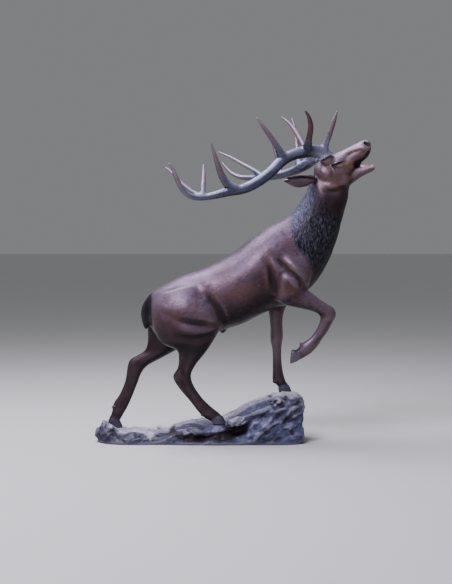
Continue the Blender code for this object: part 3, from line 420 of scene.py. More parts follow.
RIGHT_FORE = (
    ("shoulder", (0.615, 1.186), (0.417, 1.148), -0.100, 0.075),
    ("arm", (0.675, 1.075), (0.440, 1.038), -0.132, 0.082),
    ("elbow", (0.675, 0.989), (0.446, 0.909), -0.142, 0.076),
    ("forearm root", (0.649, 0.966), (0.517, 0.860), -0.146, 0.062),
    ("forearm", (0.692, 0.934), (0.594, 0.839), -0.146, 0.054),
    ("low forearm", (0.742, 0.893), (0.662, 0.825), -0.142, 0.044),
    ("knee top", (0.785, 0.864), (0.708, 0.810), -0.138, 0.039),
    ("knee", (0.825, 0.838), (0.736, 0.791), -0.136, 0.038),
    ("knee front", (0.836, 0.794), (0.737, 0.767), -0.134, 0.038),
    ("below knee", (0.815, 0.751), (0.724, 0.733), -0.132, 0.031),
    ("cannon", (0.787, 0.696), (0.703, 0.691), -0.130, 0.026),
    ("mid cannon", (0.755, 0.652), (0.671, 0.653), -0.128, 0.025),
    ("low cannon", (0.727, 0.608), (0.641, 0.632), -0.126, 0.029),
    ("fetlock", (0.688, 0.564), (0.617, 0.613), -0.125, 0.034),
    ("pastern", (0.641, 0.533), (0.598, 0.585), -0.124, 0.031),
    ("coronet", (0.604, 0.514), (0.577, 0.582), -0.124, 0.036),
)
TAIL = (
    ("root", (-0.320, 0.928), (-0.282, 0.884), 0, 0.030),
    ("top", (-0.354, 0.884), (-0.301, 0.859), 0, 0.038),
    ("middle", (-0.376, 0.837), (-0.312, 0.827), 0, 0.042),
    ("low", (-0.381, 0.790), (-0.318, 0.784), 0, 0.040),
    ("brush", (-0.372, 0.740), (-0.323, 0.740), 0, 0.030),
    ("tip", (-0.356, 0.696), (-0.334, 0.696), 0, 0.014),
)
EAR = (
    ("root", (0.712, 1.666), (0.712, 1.610), 0.078, 0.024),
    ("cup", (0.645, 1.674), (0.657, 1.587), 0.122, 0.020),
    ("blade", (0.596, 1.672), (0.599, 1.584), 0.155, 0.015),
    ("narrow", (0.549, 1.661), (0.549, 1.609), 0.182, 0.012),
    ("tip", (0.506, 1.653), (0.506, 1.639), 0.205, 0.008),
)
SHEATH = (
    ("root", (0.110, 0.720), (0.180, 0.740), 0, 0.035),
    ("middle", (0.118, 0.700), (0.172, 0.712), 0, 0.030),
    ("tip", (0.124, 0.670), (0.150, 0.674), 0, 0.014),
)

# Each hoof goes from its coronet to its sole: upper or front points, rear points, y
HOOVES = {
    "left fore": ((0.562, 0.335), (0.488, 0.320), (0.582, 0.285), (0.492, 0.285), 0.110),
    "right hind": ((0.134, 0.172), (0.068, 0.134), (0.166, 0.115), (0.080, 0.115), -0.112),
    "left hind": ((-0.520, 0.108), (-0.594, 0.122), (-0.500, 0.066), (-0.598, 0.066), 0.112),
    "right fore": ((0.606, 0.512), (0.576, 0.584), (0.552, 0.493), (0.562, 0.583), -0.124),
}
STANDING_HOOVES = ("left fore", "right hind", "left hind")
# Middle of each pair of dewclaws, behind the fetlock
DEWCLAWS = {
    "left fore": (0.462, 0.110, 0.358),
    "right hind": (0.010, -0.112, 0.176),
    "left hind": (-0.562, 0.112, 0.196),
    "right fore": (0.620, -0.125, 0.618),
}
DEWCLAW_RADIUS = 0.012
DEWCLAW_OFFSET = 0.018
TOE_OFFSET = 0.019
TOE_HALF_WIDTH = 0.020

# Bony and muscular swellings, one on each side: centre and radii
SWELLINGS = {
    "shoulder blade": ((0.500, 0.116, 1.130), (0.080, 0.066, 0.130)),
    "triceps": ((0.566, 0.152, 1.000), (0.088, 0.066, 0.062)),
    "neck bulge": ((0.628, 0.112, 1.100), (0.066, 0.062, 0.110)),
    "haunch": ((-0.075, 0.124, 0.850), (0.165, 0.078, 0.140)),
    "hip point": ((0.055, 0.130, 0.975), (0.060, 0.040, 0.055)),
    "brow ridge": ((0.862, 0.062, 1.748), (0.045, 0.024, 0.024)),
    "eyeball": ((0.862, 0.074, 1.722), (0.026, 0.018, 0.020)),
    "cheek muscle": ((0.862, 0.055, 1.635), (0.062, 0.032, 0.060)),
}
HEAD_YAW = -0.020

# Antlers: centre line x, y, z and radius
RIGHT_SEAT = (0.774, -0.062, 1.772)
LEFT_SEAT = (0.766, 0.046, 1.772)
RIGHT_SEAT_TILT = (-0.45, -0.16, 0.88)
LEFT_SEAT_TILT = (-0.45, 0.22, 0.87)
PEDICLE_ROOT = 0.060
RIGHT_ANTLER = {
    "beam": (
        (0.762, -0.066, 1.794, 0.040), (0.728, -0.078, 1.806, 0.042),
        (0.664, -0.105, 1.806, 0.039), (0.601, -0.135, 1.792, 0.035),
        (0.538, -0.165, 1.769, 0.034), (0.488, -0.190, 1.733, 0.033),
        (0.438, -0.210, 1.681, 0.032), (0.376, -0.230, 1.630, 0.032),
        (0.303, -0.250, 1.586, 0.031), (0.242, -0.265, 1.564, 0.030),
        (0.169, -0.280, 1.550, 0.028), (0.090, -0.290, 1.529, 0.023),
        (0.018, -0.300, 1.516, 0.020), (-0.030, -0.310, 1.516, 0.019),
        (-0.076, -0.320, 1.534, 0.018), (-0.111, -0.330, 1.573, 0.017),
        (-0.141, -0.340, 1.633, 0.014), (-0.163, -0.345, 1.684, 0.010),
        (-0.183, -0.350, 1.720, 0.005),
    ),
    "brow tine": (
        (0.756, -0.070, 1.800, 0.034), (0.774, -0.090, 1.855, 0.021),
        (0.796, -0.110, 1.918, 0.017), (0.819, -0.130, 1.989, 0.014),
        (0.838, -0.150, 2.050, 0.005),
    ),
    "bez tine": (
        (0.654, -0.115, 1.808, 0.034), (0.663, -0.190, 1.878, 0.020),
        (0.670, -0.240, 1.944, 0.017), (0.657, -0.270, 1.998, 0.012),
        (0.633, -0.285, 2.038, 0.005),
    ),
    "trez tine": (
        (0.507, -0.178, 1.751, 0.034), (0.469, -0.205, 1.825, 0.021),
        (0.425, -0.225, 1.889, 0.017), (0.382, -0.240, 1.947, 0.013),
        (0.343, -0.250, 1.998, 0.005),
    ),
    "royal tine": (
        (0.223, -0.268, 1.563, 0.030), (0.163, -0.292, 1.598, 0.026),
        (0.127, -0.315, 1.657, 0.021), (0.097, -0.345, 1.743, 0.014),
        (0.067, -0.370, 1.838, 0.005),
    ),
    "crown tine": (
        (0.018, -0.298, 1.520, 0.020), (0.018, -0.262, 1.576, 0.016),
        (0.021, -0.215, 1.642, 0.013), (0.020, -0.170, 1.722, 0.006),
    ),
    "rear crown tine": (
        (0.004, -0.300, 1.518, 0.018), (-0.062, -0.262, 1.562, 0.013),
        (-0.124, -0.230, 1.615, 0.011), (-0.174, -0.200, 1.671, 0.009),
        (-0.215, -0.180, 1.704, 0.005),
    ),
}
LEFT_ANTLER = {
    "beam": (
        (0.754, 0.054, 1.788, 0.040), (0.734, 0.072, 1.786, 0.040),
        (0.691, 0.110, 1.756, 0.036), (0.642, 0.150, 1.726, 0.033),
        (0.594, 0.200, 1.703, 0.029), (0.532, 0.260, 1.686, 0.027),
        (0.457, 0.330, 1.675, 0.026), (0.381, 0.400, 1.671, 0.023),
        (0.316, 0.450, 1.671, 0.019), (0.250, 0.500, 1.678, 0.016),
        (0.197, 0.540, 1.705, 0.013), (0.160, 0.565, 1.742, 0.010),
        (0.129, 0.580, 1.782, 0.005),
    ),
    "brow tine": (
        (0.712, 0.088, 1.764, 0.032), (0.654, 0.130, 1.853, 0.020),
        (0.612, 0.180, 1.937, 0.018), (0.570, 0.230, 2.003, 0.012),
        (0.515, 0.270, 2.055, 0.005),
    ),
    "bez tine": (
        (0.630, 0.165, 1.721, 0.030), (0.616, 0.215, 1.833, 0.016),
        (0.609, 0.255, 1.926, 0.014), (0.601, 0.285, 1.990, 0.010),
        (0.582, 0.305, 2.050, 0.005),
    ),
    "trez tine": (
        (0.500, 0.290, 1.681, 0.026), (0.495, 0.315, 1.770, 0.015),
        (0.478, 0.330, 1.840, 0.013), (0.452, 0.340, 1.915, 0.005),
    ),
    "royal tine": (
        (0.400, 0.382, 1.673, 0.023), (0.348, 0.420, 1.713, 0.016),
        (0.270, 0.480, 1.761, 0.013), (0.190, 0.530, 1.809, 0.010),
        (0.106, 0.580, 1.851, 0.005),
    ),
}

# Rock: shares of the base's length from its left end, of its height and of its half depth
ROCK_PROFILE = (
    ("left tip", 0.010, 0.22, 0.34),
    ("left slab", 0.040, 0.42, 0.62),
    ("left hoof", 0.100, 0.24, 0.84),
    ("slab", 0.200, 0.21, 0.90),
    ("slab end", 0.330, 0.21, 0.86),
    ("step", 0.380, 0.33, 0.90),
    ("middle", 0.470, 0.39, 0.94),
    ("mound", 0.570, 0.42, 0.98),
    ("rise", 0.640, 0.56, 0.94),
    ("shoulder", 0.720, 0.78, 0.92),
    ("block edge", 0.790, 0.91, 0.94),
    ("block", 0.860, 1.00, 0.92),
    ("block end", 0.940, 1.00, 0.84),
    ("right end", 0.985, 0.88, 0.66),
)
# The rock reaches past the rearmost and foremost standing soles by a ledge at each end
BASE_LEFT = HOOVES["left hind"][3][0] - REAR_LEDGE
BASE_RIGHT = HOOVES["left fore"][2][0] + FRONT_LEDGE
BASE_LENGTH = BASE_RIGHT - BASE_LEFT
# The block's top stands a little above the sole of the left forefoot, its highest hoof
BASE_HEIGHT = HOOVES["left fore"][2][1] + BLOCK_RISE
# Slant of the rock's ridges, their height, and how far apart they lie along, in y and across
RIDGE_SLOPE = (0.88, 0.47)
RIDGE_HEIGHT = 0.018
RIDGE_PITCH = (0.38, 0.18, 0.12)
# Hollows in the rock's front: shares of length and of height, radius and depth
ROCK_DENTS = (
    ("under the boulder", 0.640, 0.24, 0.075, 0.036),
    ("top pit", 0.855, 0.86, 0.034, 0.030),
    ("upper scoop", 0.790, 0.58, 0.055, 0.020),
    ("right scoop", 0.910, 0.50, 0.055, 0.022),
    ("slab scoop", 0.270, 0.34, 0.070, 0.016),
)
BOULDERS = (
    ("round boulder", 0.665, 0.40, -0.80, 0.064),
    ("left boulder", 0.050, 0.20, -0.30, 0.062),
    ("front slab", 0.450, 0.12, -0.66, 0.080),
    ("back slab", 0.300, 0.06, 0.72, 0.060),
    ("block foot", 0.900, 0.20, -0.52, 0.090),
    ("back foot", 0.830, 0.25, 0.60, 0.115),
)

# Carving: line in x and z, depth, half width, and the sides that carry it
BOTH = (-1, 1)
GROOVES = (
    ("gaskin", ((-0.080, 0.600), (-0.085, 0.550), (-0.110, 0.480)), 0.005, 0.012, (-1,)),
    ("left gaskin", ((-0.240, 0.600), (-0.330, 0.530), (-0.420, 0.470)), 0.006, 0.013, (1,)),
    ("behind the jaw", ((0.748, 1.640), (0.757, 1.590), (0.800, 1.560), (0.850, 1.552)),
     0.003, 0.014, BOTH),
    ("nostril", NOSTRIL, 0.018, 0.010, BOTH),
    ("ear hollow", EAR_SLIT, 0.014, 0.008, BOTH),
    ("beside the tail", ((-0.296, 0.905), (-0.308, 0.860), (-0.305, 0.783), (-0.319, 0.715)),
     0.012, 0.010, BOTH),
)
# The mane starts ahead of one border and below the other, and thins out above the breast
MANE_BORDER = (
    (0.677, 0.940), (0.693, 1.040), (0.666, 1.097), (0.610, 1.169),
    (0.555, 1.229), (0.533, 1.306), (0.535, 1.410), (0.560, 1.520),
)
JAW_BORDER = (
    (0.700, 1.680), (0.723, 1.594), (0.740, 1.550), (0.784, 1.483), (0.807, 1.446), (0.930, 1.420),
)
MANE_FOOT = (0.900, 0.980)
BORDER_FADE = (-0.015, 0.050)
LOCK_LENGTH = 0.150
LOCK_WIDTH = 0.048
LOCK_DEPTH = 0.007
LOCK_SWAY = 0.30
LOCK_BASE = 0.45
MANE_FLOW = (-0.28, -0.96)
MANE_AXIS_FOOT = 0.62
MANE_AXIS_LEAN = 0.22
MANE_AXIS_LEVEL = 1.0
MANE_RADIUS = 0.16
# The trunk, above and behind these ranges, is smoother than the limbs, head and ears
TRUNK_RISE = (0.60, 0.80)
TRUNK_FRONT = (0.66, 0.80)
LIMB_SOFTNESS = 0.15
TRUNK_SOFTNESS = 0.55

# Edges of muscles: line, depth, half width, the side of its run that swells (1 is left), and
# the sides of the body that carry it
FOLDS = (
    ("behind the elbow", ((0.395, 1.165), (0.411, 1.119), (0.428, 1.064), (0.444, 0.997), (0.456, 0.942),
                          (0.478, 0.875)), 0.013, 0.019, 1, BOTH),
    ("blade to elbow", ((0.410, 1.205), (0.462, 1.150), (0.505, 1.107), (0.542, 1.070), (0.591, 1.021),
                        (0.627, 0.976), (0.655, 0.935)), 0.012, 0.018, 1, BOTH),
    ("round the triceps", ((0.628, 0.965), (0.600, 1.026), (0.554, 1.060), (0.506, 1.056), (0.483, 1.015),
                           (0.480, 0.945)), 0.006, 0.014, 1, BOTH),
    ("flank fold", ((0.020, 0.945), (0.072, 0.883), (0.112, 0.826), (0.129, 0.760), (0.110, 0.680)),
     0.015, 0.022, -1, BOTH),
    ("upper thigh", ((-0.255, 0.828), (-0.124, 0.768), (-0.020, 0.747), (0.071, 0.736), (0.122, 0.762)),
     0.009, 0.020, 1, (-1,)),
    ("lower thigh", ((-0.180, 0.682), (-0.120, 0.664), (-0.045, 0.655), (0.035, 0.667), (0.096, 0.703),
                     (0.122, 0.745)), 0.009, 0.021, 1, (-1,)),
    ("left thigh", ((-0.180, 0.760), (-0.100, 0.722), (-0.010, 0.700), (0.090, 0.712)),
     0.007, 0.020, 1, (1,)),
    ("under the nasal bone", ((0.872, 1.744), (0.898, 1.772), (0.928, 1.797), (0.977, 1.812), (1.024, 1.815)),
     0.0085, 0.0095, 1, BOTH),
    ("under the cheek", ((0.880, 1.690), (0.930, 1.722), (0.975, 1.748)), 0.0060, 0.0095, 1, BOTH),
    ("edge of the jaw", ((0.745, 1.590), (0.790, 1.567), (0.840, 1.565), (0.885, 1.585), (0.930, 1.615)),
     0.0070, 0.0120, 1, BOTH),
    ("temple", ((0.750, 1.735), (0.775, 1.700), (0.800, 1.668), (0.830, 1.650)), 0.0060, 0.0120, 1, BOTH),
)
FINE_GROOVES = (
    ("shoulder wrinkle one", ((0.470, 1.190), (0.520, 1.152), (0.560, 1.112)), 0.0030, 0.009, BOTH),
    ("shoulder wrinkle two", ((0.500, 1.205), (0.550, 1.170), (0.590, 1.130)), 0.0030, 0.009, BOTH),
    ("forearm", ((0.640, 0.955), (0.720, 0.915), (0.790, 0.865)), 0.0045, 0.010, (-1,)),
    ("knee front", ((0.800, 0.850), (0.822, 0.815), (0.815, 0.780)), 0.0030, 0.008, (-1,)),
    ("fore tendon", ((0.790, 0.735), (0.745, 0.665), (0.690, 0.610)), 0.0040, 0.006, (-1,)),
    ("right hind tendon", ((-0.125, 0.400), (-0.090, 0.320), (-0.020, 0.230)), 0.0040, 0.007, (-1,)),
    ("hock hollow", ((-0.105, 0.500), (-0.115, 0.455), (-0.100, 0.415)), 0.0045, 0.009, (-1,)),
    ("left hind tendon", ((-0.500, 0.420), (-0.535, 0.330), (-0.570, 0.250)), 0.0040, 0.007, BOTH),
    ("left fore tendon", ((0.440, 0.640), (0.445, 0.520), (0.455, 0.410)), 0.0040, 0.007, BOTH),
    ("hip hollow", ((-0.030, 0.960), (0.000, 0.915), (0.020, 0.870)), 0.0030, 0.022, BOTH),
    ("croup", ((-0.270, 0.905), (-0.200, 0.870), (-0.150, 0.830)), 0.0030, 0.026, BOTH),
    ("eye front", ((0.878, 1.722), (0.900, 1.708), (0.908, 1.690)), 0.0040, 0.005, BOTH),
    ("eye rear", ((0.800, 1.732), (0.808, 1.712), (0.822, 1.692)), 0.0050, 0.0050, BOTH),
    ("eye fold", ((0.785, 1.722), (0.793, 1.702), (0.806, 1.684)), 0.0040, 0.0050, BOTH),
    ("under the eye", ((0.828, 1.704), (0.850, 1.698), (0.880, 1.702)), 0.0030, 0.005, BOTH),
    ("nostril rim", ((1.006, 1.850), (1.014, 1.862), (1.030, 1.872)), 0.0040, 0.004, BOTH),
    ("upper lip", ((0.985, 1.765), (1.010, 1.792), (1.040, 1.806)), 0.0035, 0.005, BOTH),
)
RIDGES = (
    ("triceps", ((0.510, 1.030), (0.560, 1.010), (0.605, 0.975)), 0.0080, 0.026, BOTH),
    ("shoulder swell", ((0.520, 1.160), (0.590, 1.090), (0.650, 1.020)), 0.0080, 0.030, BOTH),
    ("narrow muscle", ((0.430, 1.140), (0.470, 1.095), (0.510, 1.060)), 0.0040, 0.016, BOTH),
    ("upper thigh", ((-0.130, 0.860), (-0.020, 0.825), (0.085, 0.790)), 0.0090, 0.042, (-1,)),
    ("second thigh muscle", ((-0.170, 0.740), (-0.033, 0.716), (0.090, 0.712)), 0.0050, 0.022, (-1,)),
    ("hip point", ((0.010, 0.895), (0.030, 0.875)), 0.0050, 0.022, BOTH),
    ("forearm muscle", ((0.620, 0.975), (0.700, 0.940), (0.770, 0.900)), 0.0040, 0.014, (-1,)),
    ("cheek bone", ((0.880, 1.690), (0.930, 1.720), (0.975, 1.755)), 0.0030, 0.010, BOTH),
    ("nostril wing", ((1.004, 1.862), (1.024, 1.873), (1.050, 1.862), (1.056, 1.840)), 0.0040, 0.006, BOTH),
    ("brow", ((0.815, 1.752), (0.850, 1.752), (0.880, 1.744)), 0.0030, 0.008, BOTH),
)
FINE_DENTS = (
    ("hole by the knob", 0.826, 0.92, 0.017, 0.020),
    ("hole beyond the knob", 0.900, 0.93, 0.015, 0.014),
    ("three-cornered dent", 0.682, 0.69, 0.030, 0.022),
    ("edge notch", 0.978, 0.88, 0.018, 0.018),
    ("blue scoop", 0.865, 0.58, 0.050, 0.012),
    ("low pit", 0.930, 0.22, 0.028, 0.010),
    ("slab dent", 0.215, 0.22, 0.028, 0.010),
)
# Rock: cracks and raised edges as lines in x and z, with depth or height and half width
CRACKS = (
    (((-0.190, 0.082), (-0.110, 0.048), (0.010, 0.034)), 0.012, 0.024),
    (((-0.010, 0.040), (0.080, 0.056), (0.190, 0.062), (0.262, 0.085)), 0.038, 0.030),
    (((0.265, 0.085), (0.300, 0.130)), 0.014, 0.012),
    (((-0.530, 0.120), (-0.505, 0.070), (-0.470, 0.010)), 0.008, 0.010),
    (((0.480, 0.250), (0.560, 0.240), (0.620, 0.260)), 0.008, 0.010),
)
EDGES = (
    (((-0.215, 0.112), (-0.110, 0.130), (0.040, 0.138)), 0.004, 0.018),
    (((-0.378, 0.045), (-0.290, 0.075), (-0.207, 0.104)), 0.009, 0.011),
    (((0.293, 0.012), (0.420, 0.110), (0.580, 0.227)), 0.007, 0.014),
    (((0.330, 0.190), (0.420, 0.235), (0.500, 0.262)), 0.007, 0.014),
    (((-0.090, 0.085), (-0.030, 0.100), (0.050, 0.098)), 0.006, 0.012),
)
KNOBS = (
    ((0.218, -0.205, 0.137), (0.064, 0.052, 0.042)),
    ((0.476, -0.150, 0.268), (0.034, 0.050, 0.036)),
)
# Upper edge of the rock's dark front, as x and z
FRONT_EDGE = (
    (-0.660, 0.120), (-0.540, 0.098), (-0.440, 0.086), (-0.370, 0.070), (-0.310, 0.038), (-0.250, 0.070),
    (-0.170, 0.120), (-0.100, 0.128), (0.070, 0.150), (0.130, 0.135), (0.210, 0.175), (0.300, 0.235),
    (0.380, 0.284), (0.460, 0.300), (0.610, 0.290), (0.660, 0.262),
)


def smooth_rows(rows, steps):
    """Rows of numbers on a Catmull-Rom curve through the given rows."""
    rows = np.array(rows, float)
    padded = np.vstack([2 * rows[0] - rows[1], rows, 2 * rows[-1] - rows[-2]])
    out = []
    for i in range(len(rows) - 1):
        p0, p1, p2, p3 = padded[i : i + 4]
        for step in range(steps):
            t = step / steps
            out.append(0.5 * (2 * p1 + (p2 - p0) * t + (2 * p0 - 5 * p1 + 4 * p2 - p3) * t**2
                              + (3 * p1 - p0 - 3 * p2 + p3) * t**3))
    out.append(rows[-1])
    return np.array(out)


def around(sides):
    """Evenly spread angles of a ring."""
    return np.linspace(0, 2 * math.pi, sides, endpoint=False)


def closed_rings(rings):
    """Points and faces of a tube through rings of equal count, with a cap point at each end."""
    count, sides = len(rings), len(rings[0])
    points = np.vstack([np.vstack(rings), rings[0].mean(0), rings[-1].mean(0)])
    faces = []
    for i in range(count - 1):
        for j in range(sides):
            k = (j + 1) % sides
            faces.append((i * sides + j, i * sides + k, (i + 1) * sides + k, (i + 1) * sides + j))
    start, end = count * sides, count * sides + 1
    last = (count - 1) * sides
    for j in range(sides):
        k = (j + 1) % sides
        faces.append((start, k, j))
        faces.append((end, last + j, last + k))
    return points, faces


def loft(stations):
    """A closed body through the stations, with oval sections across Y."""
    rows = [(*a, *b, y, w) for _, a, b, y, w in stations]
    rings = []
    for ax, az, bx, bz, y, w in smooth_rows(rows, LOFT_STEPS):
        middle = np.array([(ax + bx) / 2, y, (az + bz) / 2])
        along = np.array([(ax - bx) / 2, 0, (az - bz) / 2])
        rings.append(np.array([middle + along * math.cos(t) + np.array([0, w * math.sin(t), 0])
                               for t in around(BODY_SIDES)]))
    return closed_rings(rings)


def tube(line, steps=6, sides=ANTLER_SIDES, tilt=None):
    """A closed round tube along x, y, z and radius rows. Its first ring can face along tilt."""
    rows = smooth_rows(line, steps)
    centres, radii = rows[:, :3], rows[:, 3]
    ways = np.gradient(centres, axis=0)
    if tilt is not None:
        ways[0] = tilt
    side = Vector((0, 1, 0))
    rings = []
    turns = around(sides)
    for centre, way, radius in zip(centres, ways, radii):
        way = Vector(way).normalized()
        side = (side - way * side.dot(way)).normalized()
        other = way.cross(side)
        ring = [Vector(centre) + (side * math.cos(t) + other * math.sin(t)) * float(radius) for t in turns]
        rings.append(np.array(ring))
    return closed_rings(rings)


def ellipsoid(centre, radii, sides=16):
    """A closed ball of three radii, as rings around its X axis."""
    rings = []
    for step in range(1, sides // 2):
        lift = math.pi * step / (sides // 2)
        rings.append(np.array([[centre[0] - radii[0] * math.cos(lift),
                                centre[1] + radii[1] * math.sin(lift) * math.cos(t),
                                centre[2] + radii[2] * math.sin(lift) * math.sin(t)] for t in around(sides)]))
    points, faces = closed_rings(rings)
    points[-2] = (centre[0] - radii[0], centre[1], centre[2])
    points[-1] = (centre[0] + radii[0], centre[1], centre[2])
    return points, faces


def mirrored(stations):
    """The same stations on the other side."""
    return tuple((name, a, b, -y, w) for name, a, b, y, w in stations)


def add_object(name, shapes):
    """One object made of several closed shapes."""
    mesh = bpy.data.meshes.new(name)
    points = np.vstack([shape[0] for shape in shapes])
    faces = []
    first = 0
    for shape_points, shape_faces in shapes:
        faces += [tuple(int(i) + first for i in face) for face in shape_faces]
        first += len(shape_points)
    mesh.from_pydata(points.tolist(), [], faces)
    thing = bpy.data.objects.new(name, mesh)
    bpy.context.scene.collection.objects.link(thing)
    return thing


def read_rows(items, name, width, kind=float):
    """One property of each item of a mesh, as rows of numbers."""
    values = np.empty(len(items) * width, kind)
    items.foreach_get(name, values)
    return values.reshape(-1, width)


def mesh_points(mesh):
    return read_rows(mesh.vertices, "co", 3)


def mesh_normals(mesh):
    return read_rows(mesh.vertex_normals, "vector", 3)


def edge_ends(mesh):
    return tuple(read_rows(mesh.edges, "vertices", 2, int).T)


def set_points(mesh, points):
    """Moves the mesh's vertices to new places."""
    mesh.vertices.foreach_set("co", points.ravel())
    mesh.update()


def neighbour_mean(values, ends):
    """The mean of each point's neighbours along the edges."""
    first, second = ends
    total = np.zeros_like(values)
    for axis in range(values.shape[1]):
        total[:, axis] = np.bincount(first, values[second, axis], len(values))
        total[:, axis] += np.bincount(second, values[first, axis], len(values))
    count = np.bincount(np.concatenate(ends), minlength=len(values))
    return total / count[:, None]


def blurred(values, ends, rounds):
    """Values at the points after several rounds of taking the neighbours' mean."""
    for _ in range(rounds):
        values = neighbour_mean(values, ends)
    return values


def relax(mesh, rounds, weight):
    """Moves each point towards the mean of its neighbours, by its own weight."""
    ends = edge_ends(mesh)
    points = mesh_points(mesh)
    weight = np.broadcast_to(weight, len(points))[:, None]
    for _ in range(rounds):
        points += (neighbour_mean(points, ends) - points) * weight
    set_points(mesh, points)


def mark(mesh, name, values):
    """Stores one number at each point, for a material to read."""
    layer = mesh.attributes.new(name, "FLOAT", "POINT")
    layer.data.foreach_set("value", np.clip(values, 0, 1).astype(np.float32))


def mark_hollows(mesh, rounds, reach):
    """Marks hollows above one half and ridges below it, by how far each point lies inside
    the smoothed surface around it."""
    ends = edge_ends(mesh)
    points = mesh_points(mesh)
    inside = ((blurred(points, ends, rounds) - points) * mesh_normals(mesh)).sum(axis=1)
    mark(mesh, "hollow", 0.5 + 0.5 * blurred(inside[:, None], ends, 2)[:, 0] / reach)


def noise_at(points, stretch=EVEN, octaves=2):
    """Smooth seeded noise at each point, after a stretch along each axis."""
    return np.array([noise.fractal(Vector(p), 1.0, 2.0, octaves) for p in points * np.array(stretch)])


def ridged(place, roughness, gap):
    """Noise with sharp ridges at one place."""
    return noise.ridged_multi_fractal(place, roughness, gap, 3, 1.0, 2.0)


def fade(value, low, high):
    """0 below low, 1 above high and smooth between."""
    t = np.clip((value - low) / (high - low), 0, 1)
    return t * t * (3 - 2 * t)


def bell(away):
    """1 at no distance, thinning out smoothly over one unit."""
    return np.exp(-(away**2))


def strongest(*marks):
    """The largest of several marks at each point."""
    return np.maximum.reduce(marks)


def line_distance(points, line):
    """Distance in the XZ plane from each point to a run of straight pieces."""
    flat = points[:, [0, 2]]
    best = np.full(len(flat), np.inf)
    for a, b in zip(np.array(line[:-1]), np.array(line[1:])):
        along = np.clip(((flat - a) @ (b - a)) / ((b - a) @ (b - a)), 0, 1)
        best = np.minimum(best, np.linalg.norm(flat - a - along[:, None] * (b - a), axis=1))
    return best


def near_line(points, line, full, end, strength=1):
    """A mark that is full within one distance of a line in x and z, and gone beyond another."""
    return strength * (1 - fade(line_distance(points, line), full, end))


def line_push(points, line, height, half_width, swell):
    """A soft ridge along a smooth line that thins out at its ends, with a counter-swelling on
    one side."""
    curve = smooth_rows(line, CURVE_STEPS)
    flat = points[:, [0, 2]]
    reach = LINE_REACH * half_width
    near = np.all((flat > curve.min(axis=0) - reach) & (flat < curve.max(axis=0) + reach), axis=1)
    spots = flat[near]
    best = np.full(len(spots), np.inf)
    left = np.zeros(len(spots))
    place = np.zeros(len(spots))
    for i, (a, b) in enumerate(zip(curve[:-1], curve[1:])):
        run = b - a
        along = np.clip(((spots - a) @ run) / (run @ run), 0, 1)
        off = spots - a - along[:, None] * run
        away = np.hypot(off[:, 0], off[:, 1])
        nearer = away < best
        best[nearer] = away[nearer]
        left[nearer] = np.sign(run[0] * off[nearer, 1] - run[1] * off[nearer, 0])
        place[nearer] = (i + along[nearer]) / (len(curve) - 1)
    profile = bell(best / half_width)
    if swell:
        inside = best * left * swell / half_width
        profile -= SWELL_SHARE * bell((inside - SWELL_PLACE) / SWELL_WIDTH)
    uneven = 1 + UNEVENNESS * np.sin(WAVES * place + WAVE_SHIFT * line[0][0])
    push = np.zeros(len(points))
    push[near] = height * profile * uneven * np.sin(np.pi * place) ** TAPER
    return push


def only(thing):
    """Selects one object alone, so that an operator acts on nothing else."""
    bpy.ops.object.select_all(action="DESELECT")
    thing.select_set(True)
    bpy.context.view_layer.objects.active = thing


def finish_with(thing, kind, **settings):
    """Adds one modifier to the object and applies it."""
    only(thing)
    modifier = thing.modifiers.new(kind.title(), kind)
    for key, value in settings.items():
        setattr(modifier, key, value)
    bpy.ops.object.modifier_apply(modifier=modifier.name)


def thin_out(thing, triangles):
    """Collapses the least needed edges down to a count of triangles."""
    finish_with(thing, "TRIANGULATE")
    finish_with(thing, "DECIMATE", ratio=min(1.0, triangles / len(thing.data.polygons)))


def finish_piece(thing, node, material):
    """Dresses one CAD node with the fine piece, in its material."""
    thing.data.materials.clear()
    thing.data.materials.append(material)
    thing.data.shade_smooth()
    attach(thing, "root")
    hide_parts(node)


def mane_weight(points):
    """How fully each point lies in the mane, which leaves out the ears."""
    x, y, z = points.T
    border_x, border_z = np.array(MANE_BORDER).T
    ahead = x - np.interp(z, border_z, border_x)
    below = -above_jaw(points)
    ear = near_line(points, *EAR_MARK) * fade(np.abs(y), *EAR_OUT)
    return fade(ahead, *BORDER_FADE) * fade(below, *BORDER_FADE) * fade(z, *MANE_FOOT) * (1 - ear)


def above_jaw(points):
    """Height of each point above the border between the head and the mane."""
    jaw_x, jaw_z = np.array(JAW_BORDER).T
    return points[:, 2] - np.interp(points[:, 0], jaw_x, jaw_z)


def mane_place(points):
    """Distance down the mane, and the turn around its axis."""
    down = points[:, [0, 2]] @ np.array(MANE_FLOW)
    axis_x = MANE_AXIS_FOOT + MANE_AXIS_LEAN * (points[:, 2] - MANE_AXIS_LEVEL)
    return down, np.arctan2(points[:, 1], points[:, 0] - axis_x)


def lock_relief(points, length, width):
    """Height from 0 to 1 of long pointed locks that overlap in staggered rows down the mane."""
    down, turn = mane_place(points)
    across = turn * MANE_RADIUS / width + LOCK_SWAY * np.sin(down / length * 5 + turn * 2.2)
    crest = 0.5 + 0.5 * np.cos(2 * math.pi * across)
    step = down / length + 0.5 * (np.round(across) % 2) - 0.25 * crest
    return crest * (LOCK_BASE + (1 - LOCK_BASE) * (step - np.floor(step)))


def strand_relief(points, width, length, seed):
    """Fine hair strands, long down the mane and narrow around it."""
    down, turn = mane_place(points)
    across = turn * MANE_RADIUS
    sway = STRAND_SWAY * np.sin(down / TUFT_LENGTH * 2 + across / TUFT_WIDTH + seed)
    return noise_at(np.stack([across / width + sway, down / length, np.full(len(points), seed)], axis=1))


def coat_relief(points, seed):
    """Short strokes of hair along the body."""
    along = points @ np.array(COAT_FLOW)
    across = points[:, 2] * COAT_FLOW[0] - points[:, 0] * COAT_FLOW[2]
    spots = np.stack([along / COAT_LENGTH, points[:, 1] / COAT_WIDTH, across / COAT_WIDTH], axis=1)
    return noise_at(spots + seed, octaves=1)


